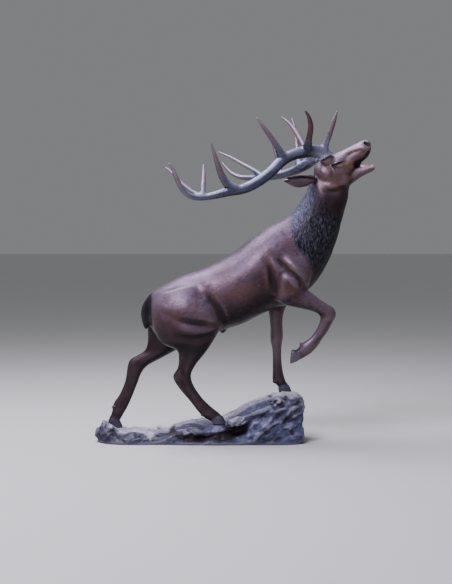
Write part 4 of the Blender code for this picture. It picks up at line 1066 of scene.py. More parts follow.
def toe_shapes(front, rear, sole_front, sole_rear, y):
    """The two toes of a hoof, from the coronet down to a flat sole."""
    shapes = []
    for side in (-1, 1):
        middle = y + side * TOE_OFFSET
        shapes.append(loft((
            ("coronet", front, rear, middle, TOE_HALF_WIDTH * 0.8),
            ("sole", sole_front, sole_rear, middle, TOE_HALF_WIDTH),
        )))
    return shapes


def dewclaw_shapes():
    """A pair of small round claws behind each fetlock."""
    radii = (DEWCLAW_RADIUS,) * 3
    return [ellipsoid((x, y + side * DEWCLAW_OFFSET, z), radii)
            for x, y, z in DEWCLAWS.values() for side in (-1, 1)]


def swelling_shapes():
    """Bones and muscles that stand out, on both sides."""
    shapes = []
    for (x, y, z), radii in SWELLINGS.values():
        yaw = HEAD_YAW if x > HEAD_START else 0
        shapes.append(ellipsoid((x, yaw + y, z), radii))
        shapes.append(ellipsoid((x, yaw - y, z), radii))
    return shapes


def seat_point(seat, tilt, offset):
    """A point on the seat's axis, offset along it."""
    return Vector(seat) + Vector(tilt).normalized() * offset


def pedicle(seat, tilt):
    """The stump of bone under an antler's burr."""
    root = seat_point(seat, tilt, -PEDICLE_ROOT)
    top = seat_point(seat, tilt, -SEAT_GAP)
    return tube([(*root, PEDICLE_RADIUS * PEDICLE_FLARE), (*top, PEDICLE_RADIUS)], sides=16)


def softness(points):
    """How freely each point may relax: much on trunk and jaw, little on limbs, head and ears."""
    trunk = fade(points[:, 2], *TRUNK_RISE) * (1 - fade(points[:, 0], *TRUNK_FRONT))
    loose = strongest(trunk, near_line(points, *JAW_CREASE))
    return LIMB_SOFTNESS + (TRUNK_SOFTNESS - LIMB_SOFTNESS) * loose


def lid_shapes():
    """Upper and lower lids, as thin ridges that follow each eyeball."""
    shapes = []
    x0, y0, z0 = EYE_CENTRE
    for side in (-1, 1):
        for lift in (LID_LIFT, -LOWER_LID_SHARE * LID_LIFT):
            line = []
            for t in np.linspace(-1, 1, 9):
                dx = t * LID_HALF_LENGTH
                dz = lift * (1 - t * t) + LID_SLANT * t
                out = math.sqrt(max(EYE_RADIUS**2 - dx * dx - dz * dz, 0.25 * EYE_RADIUS**2))
                line.append((x0 + dx, HEAD_YAW + side * (y0 + LID_OUT * out), z0 + dz, LID_RADIUS))
            shapes.append(tube(line, steps=2, sides=10))
    return shapes


def eye_shapes():
    x, y, z = EYE_CENTRE
    radii = tuple(EYE_RADIUS * share for share in EYE_SHARES)
    return [ellipsoid((x, HEAD_YAW + side * y, z), radii, sides=24) for side in (-1, 1)]


def mouth_shapes():
    """Tongue and the row of lower front teeth."""
    shapes = [ellipsoid(*TONGUE, sides=20)]
    for turn in np.linspace(-TEETH_TURN, TEETH_TURN, TOOTH_COUNT):
        x = TEETH_CENTRE[0] + TEETH_RADIUS * math.cos(turn)
        y = TEETH_CENTRE[1] + TEETH_RADIUS * math.sin(turn)
        shapes.append(ellipsoid((x, y, TEETH_CENTRE[2]), TOOTH_RADII, sides=10))
    return shapes


def carve_stag(mesh):
    """Cuts the grooves, swells the muscles beside them and draws the hair."""
    points = mesh_points(mesh)
    normals = mesh_normals(mesh)
    push = np.zeros(len(points))
    carved = [(line, -depth, wide, 0, sides) for _, line, depth, wide, sides in GROOVES + FINE_GROOVES]
    carved += [(line, -depth, wide, swell, sides) for _, line, depth, wide, swell, sides in FOLDS]
    carved += [(line, height, wide, 0, sides) for _, line, height, wide, sides in RIDGES]
    for line, height, half_width, swell, sides in carved:
        shape = line_push(points, line, height, half_width, swell)
        for side in sides:
            push += shape * np.clip(side * normals[:, 1], 0, 1) * (side * points[:, 1] > SIDE_START)
    push = blurred(push[:, None], edge_ends(mesh), CARVING_ROUNDS)[:, 0]
    mane = mane_weight(points)
    push += mane * LOCK_SHARE * LOCK_DEPTH * (lock_relief(points, LOCK_LENGTH, LOCK_WIDTH) - LOCK_MIDDLE)
    furry = mane > 0.02
    hair = STRAND_DEPTH * strand_relief(points[furry], STRAND_WIDTH, STRAND_LENGTH, STRAND_SEED)
    hair += TUFT_DEPTH * strand_relief(points[furry], TUFT_WIDTH, TUFT_LENGTH, TUFT_SEED)
    push[furry] += mane[furry] * hair
    push += (1 - mane) * fade(points[:, 2], *COAT_RISE) * COAT_DEPTH * coat_relief(points, COAT_SEED)
    set_points(mesh, points + normals * push[:, None])


def hoof_mark(points):
    """The four hooves, each a soft ball around its sole."""
    hooves = np.zeros(len(points))
    for _, _, front, rear, y in HOOVES.values():
        middle = np.array([(front[0] + rear[0]) / 2, y, (front[1] + rear[1]) / 2])
        away = np.linalg.norm(points - middle, axis=1)
        hooves = np.maximum(hooves, 1 - fade(away, *HOOF_REACH))
    return hooves


def eye_shadow_mark(points):
    """Painted shade: the upper lid's dark shadow on the shut eye, the folds behind it and the slit of the
    ear.
    """
    x0, _, z0 = EYE_CENTRE
    along = (points[:, 0] - x0) / EYE_SLIT[0]
    across = (points[:, 2] - z0 - LID_SLANT * (points[:, 0] - x0) / LID_HALF_LENGTH) / EYE_SLIT[1]
    shut = 1 - fade(np.hypot(along, across), *EYE_SLIT_FADE)
    folds = [near_line(points, *fold) for fold in EYE_FOLD_SHADE_MARKS]
    ear = near_line(points, *EAR_SLIT_SHADE_MARK) * (np.abs(points[:, 1]) > EAR_SLIT_Y)
    return strongest(shut, *folds, ear)


def painted_shade_mark(points):
    """Painted shade, in a darker brown: legs and belly, throat, temple and the hollow of the cheek."""
    x, _, z = points.T
    rise = z + FORE_LIFT * fade(x, *FORE_START)
    throat = fade(x, *FACE_FRONT) * fade(z, *THROAT_RISE) * (1 - fade(z, *THROAT_TOP))
    return strongest(1 - fade(rise, *LIMB_RISE), throat, near_line(points, *TEMPLE_SHADOW_MARK),
                     near_line(points, *CHEEK_GROOVE_SHADE_MARK))


def mark_stag(mesh):
    """Marks where each patina of the stag lies, and where its painted highlights and painted shade go."""
    points = mesh_points(mesh)
    normals = mesh_normals(mesh)
    x, y, z = points.T
    mark_hollows(mesh, 10, HOLLOW_REACH)
    mane = mane_weight(points)
    mark(mesh, "mane", mane)
    mark(mesh, "tail", near_line(points, *TAIL_MARK) * fade(-x, *TAIL_START))
    face = fade(above_jaw(points), *FACE_RISE) * fade(x, *FACE_FRONT)
    mark(mesh, "face", face)
    # Painted highlight on the bridge of the nose, where it faces up and forward
    facing = fade(normals[:, 2] - BRIDGE_LEAN * normals[:, 0], *BRIDGE_FACING)
    mark(mesh, "bridge", face * facing * fade(x, *BRIDGE_FRONT))
    mark(mesh, "hoof", hoof_mark(points))
    # Painted shade in the mouth and nostrils
    inner = np.abs(y - MOUTH_Y) < MOUTH_HALF_WIDTH
    lower = near_line(points, *MOUTH_MARK) * inner
    mark(mesh, "mouth", strongest(lower, near_line(points, *UPPER_MOUTH_MARK),
                                  near_line(points, *NOSTRIL_MARK)))
    # Painted highlights on the lower lip, the upward-facing ear rim and the eyeball
    rim = near_line(points, *EAR_RIM_HIGHLIGHT_MARK) * (normals[:, 2] > 0)
    mark(mesh, "lip", strongest(near_line(points, *LIP_MARK), rim, near_line(points, *EYE_BALL_HIGHLIGHT_MARK)))
    # Painted shade of the eye, its folds and the ear's slit
    mark(mesh, "eye", eye_shadow_mark(points))
    # Painted highlight on the upper mane at the nape
    mark(mesh, "nape", near_line(points, *NAPE_HIGHLIGHT_MARK) * fade(z, *NAPE_RISE) * mane)
    # Painted shade on the legs, belly, throat, temple and cheek groove
    mark(mesh, "painted_shade", painted_shade_mark(points))


def make_stag(material):
    """The stag as one casting, with its carved folds, hair and marks."""
    parts = (TORSO, NECK, HEAD, JAW, RIGHT_HIND, LEFT_HIND, LEFT_FORE, RIGHT_FORE, TAIL, EAR,
             mirrored(EAR), SHEATH)
    shapes = [loft(part) for part in parts]
    shapes += swelling_shapes() + dewclaw_shapes() + eye_shapes() + lid_shapes() + mouth_shapes()
    for sizes in HOOVES.values():
        shapes += toe_shapes(*sizes)
    shapes += [pedicle(RIGHT_SEAT, RIGHT_SEAT_TILT), pedicle(LEFT_SEAT, LEFT_SEAT_TILT)]
    stag = add_object("stag_casting", shapes)
    finish_with(stag, "REMESH", mode="VOXEL", voxel_size=STAG_VOXEL)
    mesh = stag.data
    soft = softness(mesh_points(mesh))
    relax(mesh, RELAX_ROUNDS, soft)
    relax(mesh, TRUNK_ROUNDS, np.maximum(0, soft - LIMB_SOFTNESS))
    carve_stag(mesh)
    relax(mesh, 1, LAST_RELAX)
    mark_stag(mesh)
    thin_out(stag, STAG_TRIANGLES)
    finish_piece(stag, "stag", material)


def fluted_tube(line, steps, sides, ridges, depth, tilt=None):
    """A tube whose section is gently fluted, like the gutters of an antler."""
    points, faces = tube(line, steps=steps, sides=sides, tilt=tilt)
    rings = points[:-2].reshape(-1, sides, 3)
    middles = rings.mean(axis=1, keepdims=True)
    turns = around(sides)
    run = np.linspace(0, 1, len(rings))[:, None]
    flutes = 1 + depth * np.sin(turns * ridges + 5 * run) + 0.5 * depth * np.sin(turns * 3 - 9 * run)
    points[:-2] = (middles + (rings - middles) * flutes[:, :, None]).reshape(-1, 3)
    return points, faces


def flared(line):
    """The same tine with a wider foot, so that it grows out of the beam."""
    foot = (*line[0][:3], line[0][3] * TINE_FLARE)
    second = tuple((1 - FLARE_END) * a + FLARE_END * b for a, b in zip(line[0], line[1]))
    return (foot, (*second[:3], second[3] * FLARE_WIDTH), *line[1:])


def junction_weight(points, tines):
    """How freely each point may relax: most in the crotch where a tine leaves the beam."""
    weight = np.zeros(len(points))
    for line in tines:
        foot, second = np.array(line[0]), np.array(line[1])
        middle = foot[:3] + WEB_PLACE * (second - foot)[:3]
        away = np.linalg.norm(points - middle, axis=1)
        weight = np.maximum(weight, WEB_WEIGHT * (1 - fade(away, *WEB_REACH)))
    return weight


def burr_shapes(seat, tilt):
    """The knobbly ring at the foot of an antler."""
    axis = Vector(tilt).normalized()
    side = axis.orthogonal().normalized()
    other = axis.cross(side)
    middle = Vector(seat) + axis * BURR_LIFT
    shapes = []
    for i in range(BURR_KNOBS):
        turn = 2 * math.pi * i / BURR_KNOBS
        knob = middle + (side * math.cos(turn) + other * math.sin(turn)) * BURR_RADIUS
        radius = KNOB_RADIUS * (1 + KNOB_SPREAD * math.sin(i * KNOB_STEP))
        shapes.append(ellipsoid(tuple(knob), (radius,) * 3, sides=10))
    return shapes


def mark_antler(mesh, points, lines, seat, shaded_tine):
    """Marks the brown tips, the silvery foot and the tine that is brown all along, if any, whose brown is
    painted shade.
    """
    mark_hollows(mesh, 8, ANTLER_HOLLOW_REACH)
    tips = np.zeros(len(points))
    for tine, line in lines.items():
        tip, foot = np.array(line[-1][:3]), np.array(line[0][:3])
        reach = BEAM_TIP if tine == "beam" else np.linalg.norm(tip - foot)
        away = np.linalg.norm(points - tip, axis=1) / reach
        tips = np.maximum(tips, 1 - fade(away, *TIP_FADE))
    mark(mesh, "tip", tips)
    mark(mesh, "foot", 1 - fade(np.linalg.norm(points - np.array(seat), axis=1), *FOOT_FADE))
    # Painted brown shade along the upper part of the one dark tine
    brown = np.zeros(len(points))
    if shaded_tine:
        brown = near_line(points, [(x, z) for x, _, z, _ in lines[shaded_tine]], *BROWN_REACH)
    mark(mesh, "brown", brown * fade(points[:, 2], *BROWN_RISE))


def make_antler(side, lines, seat, tilt, material, shaded_tine=None):
    """Beam, tines and burr as one fluted casting, from its seat up."""
    start = seat_point(seat, tilt, BURR_START)
    burr = seat_point(seat, tilt, BURR_TOP)
    beam = ((*start, BURR_RADIUS), (*burr, BURR_RADIUS), *lines["beam"])
    tines = [line for tine, line in lines.items() if tine != "beam"]
    shapes = [fluted_tube(beam, *BEAM_FLUTES, tilt)]
    shapes += [fluted_tube(flared(line), *TINE_FLUTES) for line in tines]
    antler = add_object(f"antler_{side}_casting", shapes + burr_shapes(seat, tilt))
    finish_with(antler, "REMESH", mode="VOXEL", voxel_size=ANTLER_VOXEL)
    mesh = antler.data
    relax(mesh, WEB_ROUNDS, junction_weight(mesh_points(mesh), tines))
    relax(mesh, 4, LAST_RELAX)
    points = mesh_points(mesh)
    near_seat = 1 - fade(np.linalg.norm(points - np.array(seat), axis=1), *PEARL_REACH)
    pearls = noise_at(points, PEARL_PITCH, 1) * near_seat * PEARL_HEIGHT
    grain = noise_at(points, GRAIN_PITCH) * ANTLER_GRAIN
    set_points(mesh, points + mesh_normals(mesh) * (pearls + grain)[:, None])
    mark_antler(mesh, points, lines, seat, shaded_tine)
    thin_out(antler, ANTLER_TRIANGLES)
    finish_piece(antler, f"antler_{side}", material)


def boulder(share, high, deep, radius, seed):
    """A rough stone: the hull of points spread over a ball."""
    middle = Vector((BASE_LEFT + share * BASE_LENGTH, deep * BASE_DEPTH / 2, high * BASE_HEIGHT))
    rng = np.random.default_rng(seed)
    work = bmesh.new()
    for way in rng.normal(size=(BOULDER_POINTS, 3)):
        way = Vector(way).normalized()
        work.verts.new(middle + Vector([part * size for part, size in zip(way, BOULDER_SHAPE)]) * radius)
    bmesh.ops.convex_hull(work, input=work.verts)
    bmesh.ops.delete(work, geom=[v for v in work.verts if not v.link_faces], context="VERTS")
    work.verts.index_update()
    points = np.array([tuple(v.co) for v in work.verts])
    faces = [tuple(v.index for v in face.verts) for face in work.faces]
    work.free()
    return points, faces


def rock_body():
    """The rock's main mass, lofted along its length over a flat underside."""
    rings = []
    wide, tall = ROCK_CORNER
    for along, high, deep in smooth_rows([row[1:] for row in ROCK_PROFILE], 6):
        x = BASE_LEFT + along * BASE_LENGTH
        half = deep * BASE_DEPTH / 2
        ring = []
        for t in np.linspace(0, math.pi, 33):
            y = -math.copysign(abs(math.cos(t)) ** wide, math.cos(t)) * half
            ring.append((x, y, math.sin(t) ** tall * high * BASE_HEIGHT))
        ring += [(x, half * (1 - 2 * s), 0.0) for s in (0, 0.25, 0.5, 0.75, 1)]
        rings.append(np.array(ring))
    return closed_rings(rings)


def rock_relief(x, y, z):
    """Height of the slanting ridges, lumps and chips at one place."""
    along = x * RIDGE_SLOPE[0] + z * RIDGE_SLOPE[1]
    across = z * RIDGE_SLOPE[0] - x * RIDGE_SLOPE[1]
    place = Vector((along / RIDGE_PITCH[0], y / RIDGE_PITCH[1], across / RIDGE_PITCH[2]))
    spot = Vector((x, y, z))
    broad = RIDGE_HEIGHT * (ridged(place, 1.0, 2.1) - RIDGE_LEVEL)
    fine = FINE_RIDGE_HEIGHT * (ridged(place * FINE_RIDGE_SHARE, 0.9, 2.1) - FINE_LEVEL)
    lumps = LUMP_HEIGHT * noise.fractal(spot / LUMP_SIZE, 0.9, 2.1, 3)
    return broad + fine + lumps + CHIP_HEIGHT * (ridged(spot / CHIP_SIZE, 0.8, 2.2) - FINE_LEVEL)


def dent_bell(points, share, high, radius):
    """How deep each point lies in one round hollow of the rock's front, from 0 to 1."""
    x = BASE_LEFT + share * BASE_LENGTH
    away = np.hypot(points[:, 0] - x, (points[:, 2] - high * BASE_HEIGHT) * DENT_FLATNESS)
    return bell(away / radius)


def off_knobs(points, reach):
    """1 away from the rock's knobs and 0 on them."""
    clear = np.ones(len(points))
    for centre, radii in KNOBS:
        away = np.linalg.norm((points - np.array(centre)) / np.array(radii), axis=1)
        clear *= fade(away, KNOB_EDGE, reach)
    return clear


def crack_rock(mesh):
    """Wears the rock into slanting ridges, scoops, cracks and pits."""
    points = mesh_points(mesh)
    normals = mesh_normals(mesh)
    push = np.array([rock_relief(*place) for place in points])
    for _, share, high, radius, depth in ROCK_DENTS + FINE_DENTS:
        push -= depth * dent_bell(points, share, high, radius) * np.clip(-normals[:, 1], 0, 1)
    front = np.clip(-1.5 * normals[:, 1], 0, 1) * (points[:, 1] < 0)
    bent = points.copy()
    bent[:, 2] += CRACK_SWAY * noise_at(points / CRACK_PITCH, octaves=3)
    for line, depth, half_width in CRACKS:
        push -= depth * bell(line_distance(bent, line) / half_width) * front
    for line, height, half_width in EDGES:
        push += height * bell(line_distance(bent, line) / half_width) * front
    push *= fade(points[:, 2], *FOOT_RISE)
    points += normals * push[:, None]
    points[:, 2] = np.maximum(points[:, 2], 0)
    set_points(mesh, points)


def mark_rock(mesh):
    """Marks the rock's pits, its blue front and what is low; the pits and low parts get painted shade."""
    points = mesh_points(mesh)
    x, y, z = points.T
    # Painted shade in the two main cracks and the deepest dents
    cracks = [bell(line_distance(points, line) / wide) for line, _, wide in CRACKS[:DARK_CRACKS]]
    dents = [PIT_STRENGTH * dent_bell(points, share, high, radius)
             for _, share, high, radius, _ in ROCK_DENTS[:DARK_DENTS] + FINE_DENTS[:DARK_FINE_DENTS]]
    mark(mesh, "pit", strongest(*cracks, *dents) * off_knobs(points, PIT_KNOB) * (y < 0))
    edge_x, edge_z = np.array(FRONT_EDGE).T
    sway = EDGE_SWAY * noise_at(points / CRACK_PITCH, octaves=3)
    under = np.interp(x, edge_x, edge_z) - z + sway
    front = fade(under, *FRONT_UNDER) * fade(-y, *FRONT_OUT) * off_knobs(points, FRONT_KNOB)
    mark(mesh, "front", front)
    # Painted shade on the left end, on the rear of the front and on the lowest band
    end = REAR_END_STRENGTH * fade(-x, *REAR_END) * (1 - fade(z, *REAR_END_RISE))
    rear = REAR_FRONT_STRENGTH * front * (1 - fade(x, *REAR_FRONT))
    mark(mesh, "low", strongest(1 - fade(z, *LOW_RISE), end, rear))


def seat_hooves(mesh):
    """Flattens the rock under each standing sole, with a soft lip around it."""
    points = mesh_points(mesh)
    for name in STANDING_HOOVES:
        front, rear, sole_front, sole_rear, y = HOOVES[name]
        ends = sorted((front[0], rear[0], sole_front[0], sole_rear[0]))
        middle = ((ends[0] + ends[-1]) / 2, y)
        half = ((ends[-1] - ends[0]) / 2, TOE_OFFSET + TOE_HALF_WIDTH)
        away = np.hypot((points[:, 0] - middle[0]) / half[0], (points[:, 1] - middle[1]) / half[1])
        level = sole_front[1] - SEAT_GAP
        on_top = fade(points[:, 2], level - SEAT_DEPTHS[0], level - SEAT_DEPTHS[1])
        points[:, 2] += (level - points[:, 2]) * ((1 - fade(away, *SEAT_REACH)) * on_top)
    set_points(mesh, points)


def make_rock(material):
    """The rock as one casting, with its relief, its seats and its marks."""
    shapes = [rock_body()]
    for seed, (_, share, high, deep, radius) in enumerate(BOULDERS):
        shapes.append(boulder(share, high, deep, radius, seed))
    shapes += [ellipsoid(centre, radii, sides=28) for centre, radii in KNOBS]
    rock = add_object("rock_casting", shapes)
    finish_with(rock, "REMESH", mode="VOXEL", voxel_size=ROCK_VOXEL)
    relax(rock.data, 6, 0.5)
    crack_rock(rock.data)
    seat_hooves(rock.data)
    mark_hollows(rock.data, 16, ROCK_HOLLOW_REACH)
    mark_rock(rock.data)
    thin_out(rock, ROCK_TRIANGLES)
    finish_piece(rock, "rock_base", material)


def feed(tree, socket, value):
    """Links a socket to another, or sets it to a number or a colour."""
    if isinstance(value, bpy.types.NodeSocket):
        tree.links.new(value, socket)
    else:
        socket.default_value = (*value, 1) if isinstance(value, tuple) else value


def mix_colours(tree, factor, first, second):
    """Mixes two colours, each a socket or a value, by a factor."""
    made = tree.nodes.new("ShaderNodeMix")
    made.data_type = "RGBA"
    for index, value in ((0, factor), (6, first), (7, second)):
        feed(tree, made.inputs[index], value)
    return made.outputs[2]


def layered(tree, colour, *layers):
    """Lays colours over one another, each by its own mask."""
    for mask, over in layers:
        colour = mix_colours(tree, mask, colour, over)
    return colour


def maths(tree, operation, first, second):
    """One sum or product, each part a socket or a number."""
    made = tree.nodes.new("ShaderNodeMath")
    made.operation = operation
    feed(tree, made.inputs[0], first)
    feed(tree, made.inputs[1], second)
    return made.outputs[0]


def times(tree, first, second):
    return maths(tree, "MULTIPLY", first, second)


def plus(tree, first, second):
    return maths(tree, "ADD", first, second)


def ramp(tree, source, low, high, top=1.0):
    """A smooth mask that runs from 0 at low to top at high."""
    made = tree.nodes.new("ShaderNodeMapRange")
    made.interpolation_type = "SMOOTHSTEP"
    for name, value in (("Value", source), ("From Min", low), ("From Max", high), ("To Max", top)):
        feed(tree, made.inputs[name], value)
    return made.outputs["Result"]


def clouds(tree, place, scale, detail, roughness, stretch=EVEN):
    """Cloudy noise on object coordinates, stretched along an axis."""
    mapping = tree.nodes.new("ShaderNodeMapping")
    mapping.inputs["Scale"].default_value = stretch
    tree.links.new(place, mapping.inputs["Vector"])
    made = tree.nodes.new("ShaderNodeTexNoise")
    for name, value in (("Vector", mapping.outputs["Vector"]), ("Scale", scale), ("Detail", detail),
                        ("Roughness", roughness)):
        feed(tree, made.inputs[name], value)
    return made.outputs["Fac"]


def cloud_mask(tree, place, name):
    """One of the named masks of soft clouds."""
    scale, detail, roughness, stretch, low, high, top = CLOUDS[name]
    return ramp(tree, clouds(tree, place, scale, detail, roughness, stretch), low, high, top)


def effect_group(name, inputs, outputs):
    """An empty shader node group, and the sockets at its start and end. Each input is given by
    its kind, or by the number it has when nothing feeds it."""
    group = bpy.data.node_groups.new(name, "ShaderNodeTree")
    for label, kind in inputs.items():
        if isinstance(kind, float):
            socket = group.interface.new_socket(label, in_out="INPUT", socket_type=SOCKETS["number"])
            socket.default_value = kind
        else:
            group.interface.new_socket(label, in_out="INPUT", socket_type=SOCKETS[kind])
    for label, kind in outputs.items():
        group.interface.new_socket(label, in_out="OUTPUT", socket_type=SOCKETS[kind])
    start = group.nodes.new("NodeGroupInput")
    end = group.nodes.new("NodeGroupOutput")
    return group, start.outputs, end.inputs


def build_patina_and_shading_group():
    """Darkens a colour in hollows and lightens it on ridges, by a hollow mark: patina in the hollows and
    rubbed metal on the ridges, which also stand in for the shade and the highlights there.
    """
    group, start, end = effect_group(
        "Patina, rubbing and painted shading of hollows and ridges",
        {"Color": "colour", "Hollow": 0.5, "Dark": "colour", "Light": "colour", "Depth": 0.8, "Rub": 0.5},
        {"Color": "colour"},
    )
    deep = times(group, ramp(group, start["Hollow"], 0.54, 0.85), start["Depth"])
    high = times(group, ramp(group, start["Hollow"], 0.46, 0.15), start["Rub"])
    patina_shaded = layered(group, start["Color"], (deep, start["Dark"]), (high, start["Light"]))
    group.links.new(patina_shaded, end["Color"])
    return group


def build_sheen_and_shade_group():
    """Lays a pale painted sheen on what faces up, broken by clouds, and darkens what faces down with painted
    shade.
    """
    group, start, end = effect_group(
        "Bloom above, dark below",
        {"Color": "colour", "Place": "place", "Bloom": "colour", "Amount": 0.5, "Shade": "colour",
         "Under": 0.5, "Rise": -0.1, "Fall": 0.12},
        {"Color": "colour"},
    )
    facing = group.nodes.new("ShaderNodeNewGeometry")
    split = group.nodes.new("ShaderNodeSeparateXYZ")
    group.links.new(facing.outputs["Normal"], split.inputs["Vector"])
    # Painted sheen grows as the surface faces up, painted shade as it faces down
    up = ramp(group, split.outputs["Z"], start["Rise"], 0.95)
    down = times(group, ramp(group, split.outputs["Z"], start["Fall"], -0.60), start["Under"])
    patches = plus(group, times(group, cloud_mask(group, start["Place"], "sheen patches"), 0.55), 0.45)
    specks = plus(group, times(group, cloud_mask(group, start["Place"], "sheen specks"), 0.5), 0.6)
    amount = times(group, times(group, up, times(group, patches, specks)), start["Amount"])
    sheened_and_shaded = layered(group, start["Color"], (amount, start["Bloom"]), (down, start["Shade"]))
    group.links.new(sheened_and_shaded, end["Color"])
    return group


def build_skin_group():
    """Cast skin: height and roughness of a fine, brushed and pitted bronze surface."""
    group, start, end = effect_group(
        "Cast skin",
        {"Place": "place", "Fineness": 1.0, "Roughness": 0.4, "Spread": 0.15},
        {"Height": "number", "Roughness": "number"},
    )
    fine = clouds(group, start["Place"], 240.0, 3.0, 0.6)
    brushed = clouds(group, start["Place"], 90.0, 3.0, 0.6, (0.25, 1.0, 0.9))
    height = plus(group, times(group, fine, 0.5), times(group, brushed, start["Fineness"]))
    broad = cloud_mask(group, start["Place"], "skin broad")
    rough = plus(group, times(group, broad, start["Spread"]), start["Roughness"])
    group.links.new(height, end["Height"])
    group.links.new(rough, end["Roughness"])
    return group


def placed(tree, group, **values):
    """Puts a node group in a material, with its links and values by socket name."""
    made = tree.nodes.new("ShaderNodeGroup")
    made.node_tree = group
    for name, value in values.items():
        feed(tree, made.inputs[name], value)
    return made.outputs


def read_marks(tree, *names):
    """Sockets that read the marks stored on a piece."""
    found = []
    for name in names:
        made = tree.nodes.new("ShaderNodeAttribute")
        made.attribute_name = name
        found.append(made.outputs["Fac"])
    return found


def new_patina(name, metallic, coat, coat_roughness, specular):
    """An empty bronze material and its shader, tree and object coordinates."""
    material = bpy.data.materials.new(name)
    material.use_nodes = True
    tree = material.node_tree
    shader = tree.nodes["Principled BSDF"]
    shader.inputs["Metallic"].default_value = metallic
    shader.inputs["Coat Weight"].default_value = coat
    shader.inputs["Coat Roughness"].default_value = coat_roughness
    shader.inputs["Specular IOR Level"].default_value = specular
    place = tree.nodes.new("ShaderNodeTexCoord").outputs["Object"]
    return material, tree, shader, place


def end_patina(tree, shader, place, colour, group, roughness, spread, bump, fineness=1.0, dull=None):
    """Joins the colour and the cast skin to the shader."""
    skin = placed(tree, group, Place=place, Fineness=fineness, Roughness=roughness, Spread=spread)
    lift = tree.nodes.new("ShaderNodeBump")
    lift.inputs["Strength"].default_value = bump
    lift.inputs["Distance"].default_value = BUMP_DISTANCE
    tree.links.new(skin["Height"], lift.inputs["Height"])
    tree.links.new(lift.outputs["Normal"], shader.inputs["Normal"])
    rough = skin["Roughness"]
    if dull:
        rough = plus(tree, rough, times(tree, dull, MANE_DULLNESS))
    tree.links.new(rough, shader.inputs["Roughness"])
    tree.links.new(colour, shader.inputs["Base Color"])


def body_patina(patina_and_shading, painted_sheen, skin):
    """Warm brown body, redder face, blue-black mane and tail, slate hooves, with painted sheen and highlights
    above and painted shade below and in the mouth, eye and creases.
    """
    material, tree, shader, place = new_patina("Warm brown bronze", 0.50, 0.08, 0.28, 0.18)
    face, bridge, mane, nape, tail, painted_shade, hoof, mouth, lip, eye, hollow = read_marks(
        tree, "face", "bridge", "mane", "nape", "tail", "painted_shade", "hoof", "mouth", "lip", "eye", "hollow")
    broad, fleck, warm, ochre, tuft = (
        cloud_mask(tree, place, name)
        for name in ("body broad", "body fleck", "body warm", "face ochre", "mane tuft"))
    # Painted bluish highlight on the upper mane at the nape
    silver = times(tree, nape, ramp(tree, tuft, -0.6, 1.0, 0.80))
    # The darker leg brown laid last is painted shade on the legs, belly, throat, temple and cheek groove
    colour = layered(
        tree, BODY["dark brown"], (broad, BODY["brown"]), (fleck, BODY["fleck"]), (warm, BODY["warm"]),
        (face, mix_colours(tree, ochre, BODY["face"], BODY["ochre"])),
        (mane, layered(tree, BODY["dark mane"], (tuft, BODY["mane"]), (silver, BODY["nape"]))),
        (tail, BODY["tail"]), (times(tree, painted_shade, 0.80), BODY["painted_shade"]))
    # Painted sheen on what faces up, less on the mane, legs and tail and more on the face, and painted shade
    # on what faces down
    bare = plus(tree, plus(tree, mane, painted_shade), tail)
    amount = plus(tree, ramp(tree, bare, 1.20, 0.0, 0.66), times(tree, face, 0.56))
    colour = placed(tree, painted_sheen, Color=colour, Place=place, Amount=amount, Bloom=BODY["painted_sheen"],
                    Shade=BODY["shade"], Under=0.92, Rise=-0.25)["Color"]
    ring = times(tree, hoof, ramp(tree, hoof, 0.9, 0.3, 1.6))
    # Painted highlight on the bridge of the nose
    colour = layered(tree, colour, (times(tree, bridge, 0.60), BODY["bridge"]), (hoof, BODY["hoof"]),
                     (ring, BODY["hoof ring"]))
    # Darker patina in hollows and rubbed metal on ridges, which also stand in for shade and highlights
    colour = placed(tree, patina_and_shading, Color=colour, Hollow=hollow, Dark=BODY["hollow"], Light=BODY["ridge rub and highlight"],
                    Depth=ramp(tree, mane, 1.6, 0.0, 0.65), Rub=ramp(tree, bare, 1.6, 0.0, 0.34))["Color"]
    # Painted shade in the mouth, nostrils, eye and ear slit, and painted highlights on the lower lip, ear rim
    # and eyeball
    colour = layered(tree, colour, (mouth, BODY["mouth"]), (lip, BODY["lip"]), (eye, BODY["eye"]))
    end_patina(tree, shader, place, colour, skin, 0.36, 0.16, 0.50, dull=mane)
    return material


def antler_patina(patina_and_shading, painted_sheen, skin):
    """Silvery blue-grey beams, with painted sheen above, painted shade below, brown tips and one tine painted
    brown as shade.
    """
    material, tree, shader, place = new_patina("Silvery antler bronze", 0.50, 0.12, 0.26, 0.25)
    tip, foot, brown, hollow = read_marks(tree, "tip", "foot", "brown", "hollow")
    broad = cloud_mask(tree, place, "antler broad")
    colour = layered(
        tree, ANTLER["dark grey"], (broad, ANTLER["grey"]),
        (cloud_mask(tree, place, "antler streak"), ANTLER["streak"]),
        (ramp(tree, tip, 0.05, 0.70, 0.92), ANTLER["tip"]))
    # Painted sheen on what faces up and painted shade on what faces down, the shade reaching higher than on
    # the body
    colour = placed(tree, painted_sheen, Color=colour, Place=place, Bloom=ANTLER["painted_sheen"], Amount=0.75,
                    Shade=ANTLER["shade"], Under=0.92, Rise=-0.05, Fall=0.40)["Color"]
    silver = times(tree, foot, plus(tree, times(tree, broad, 0.45), 0.25))
    # The one dark tine gets painted brown shade
    colour = layered(tree, colour, (silver, ANTLER["silver"]), (times(tree, brown, 0.85), ANTLER["brown"]))
    warm = plus(tree, brown, times(tree, tip, 0.35))
    # Darker patina in hollows and rubbed metal on ridges, which also stand in for shade and highlights
    colour = placed(tree, patina_and_shading, Color=colour, Hollow=hollow, Rub=ramp(tree, warm, 1.1, 0.0, 0.35),
                    Dark=ANTLER["hollow"], Light=ANTLER["ridge rub and highlight"], Depth=0.50)["Color"]
    end_patina(tree, shader, place, colour, skin, 0.34, 0.14, 0.30)
    return material


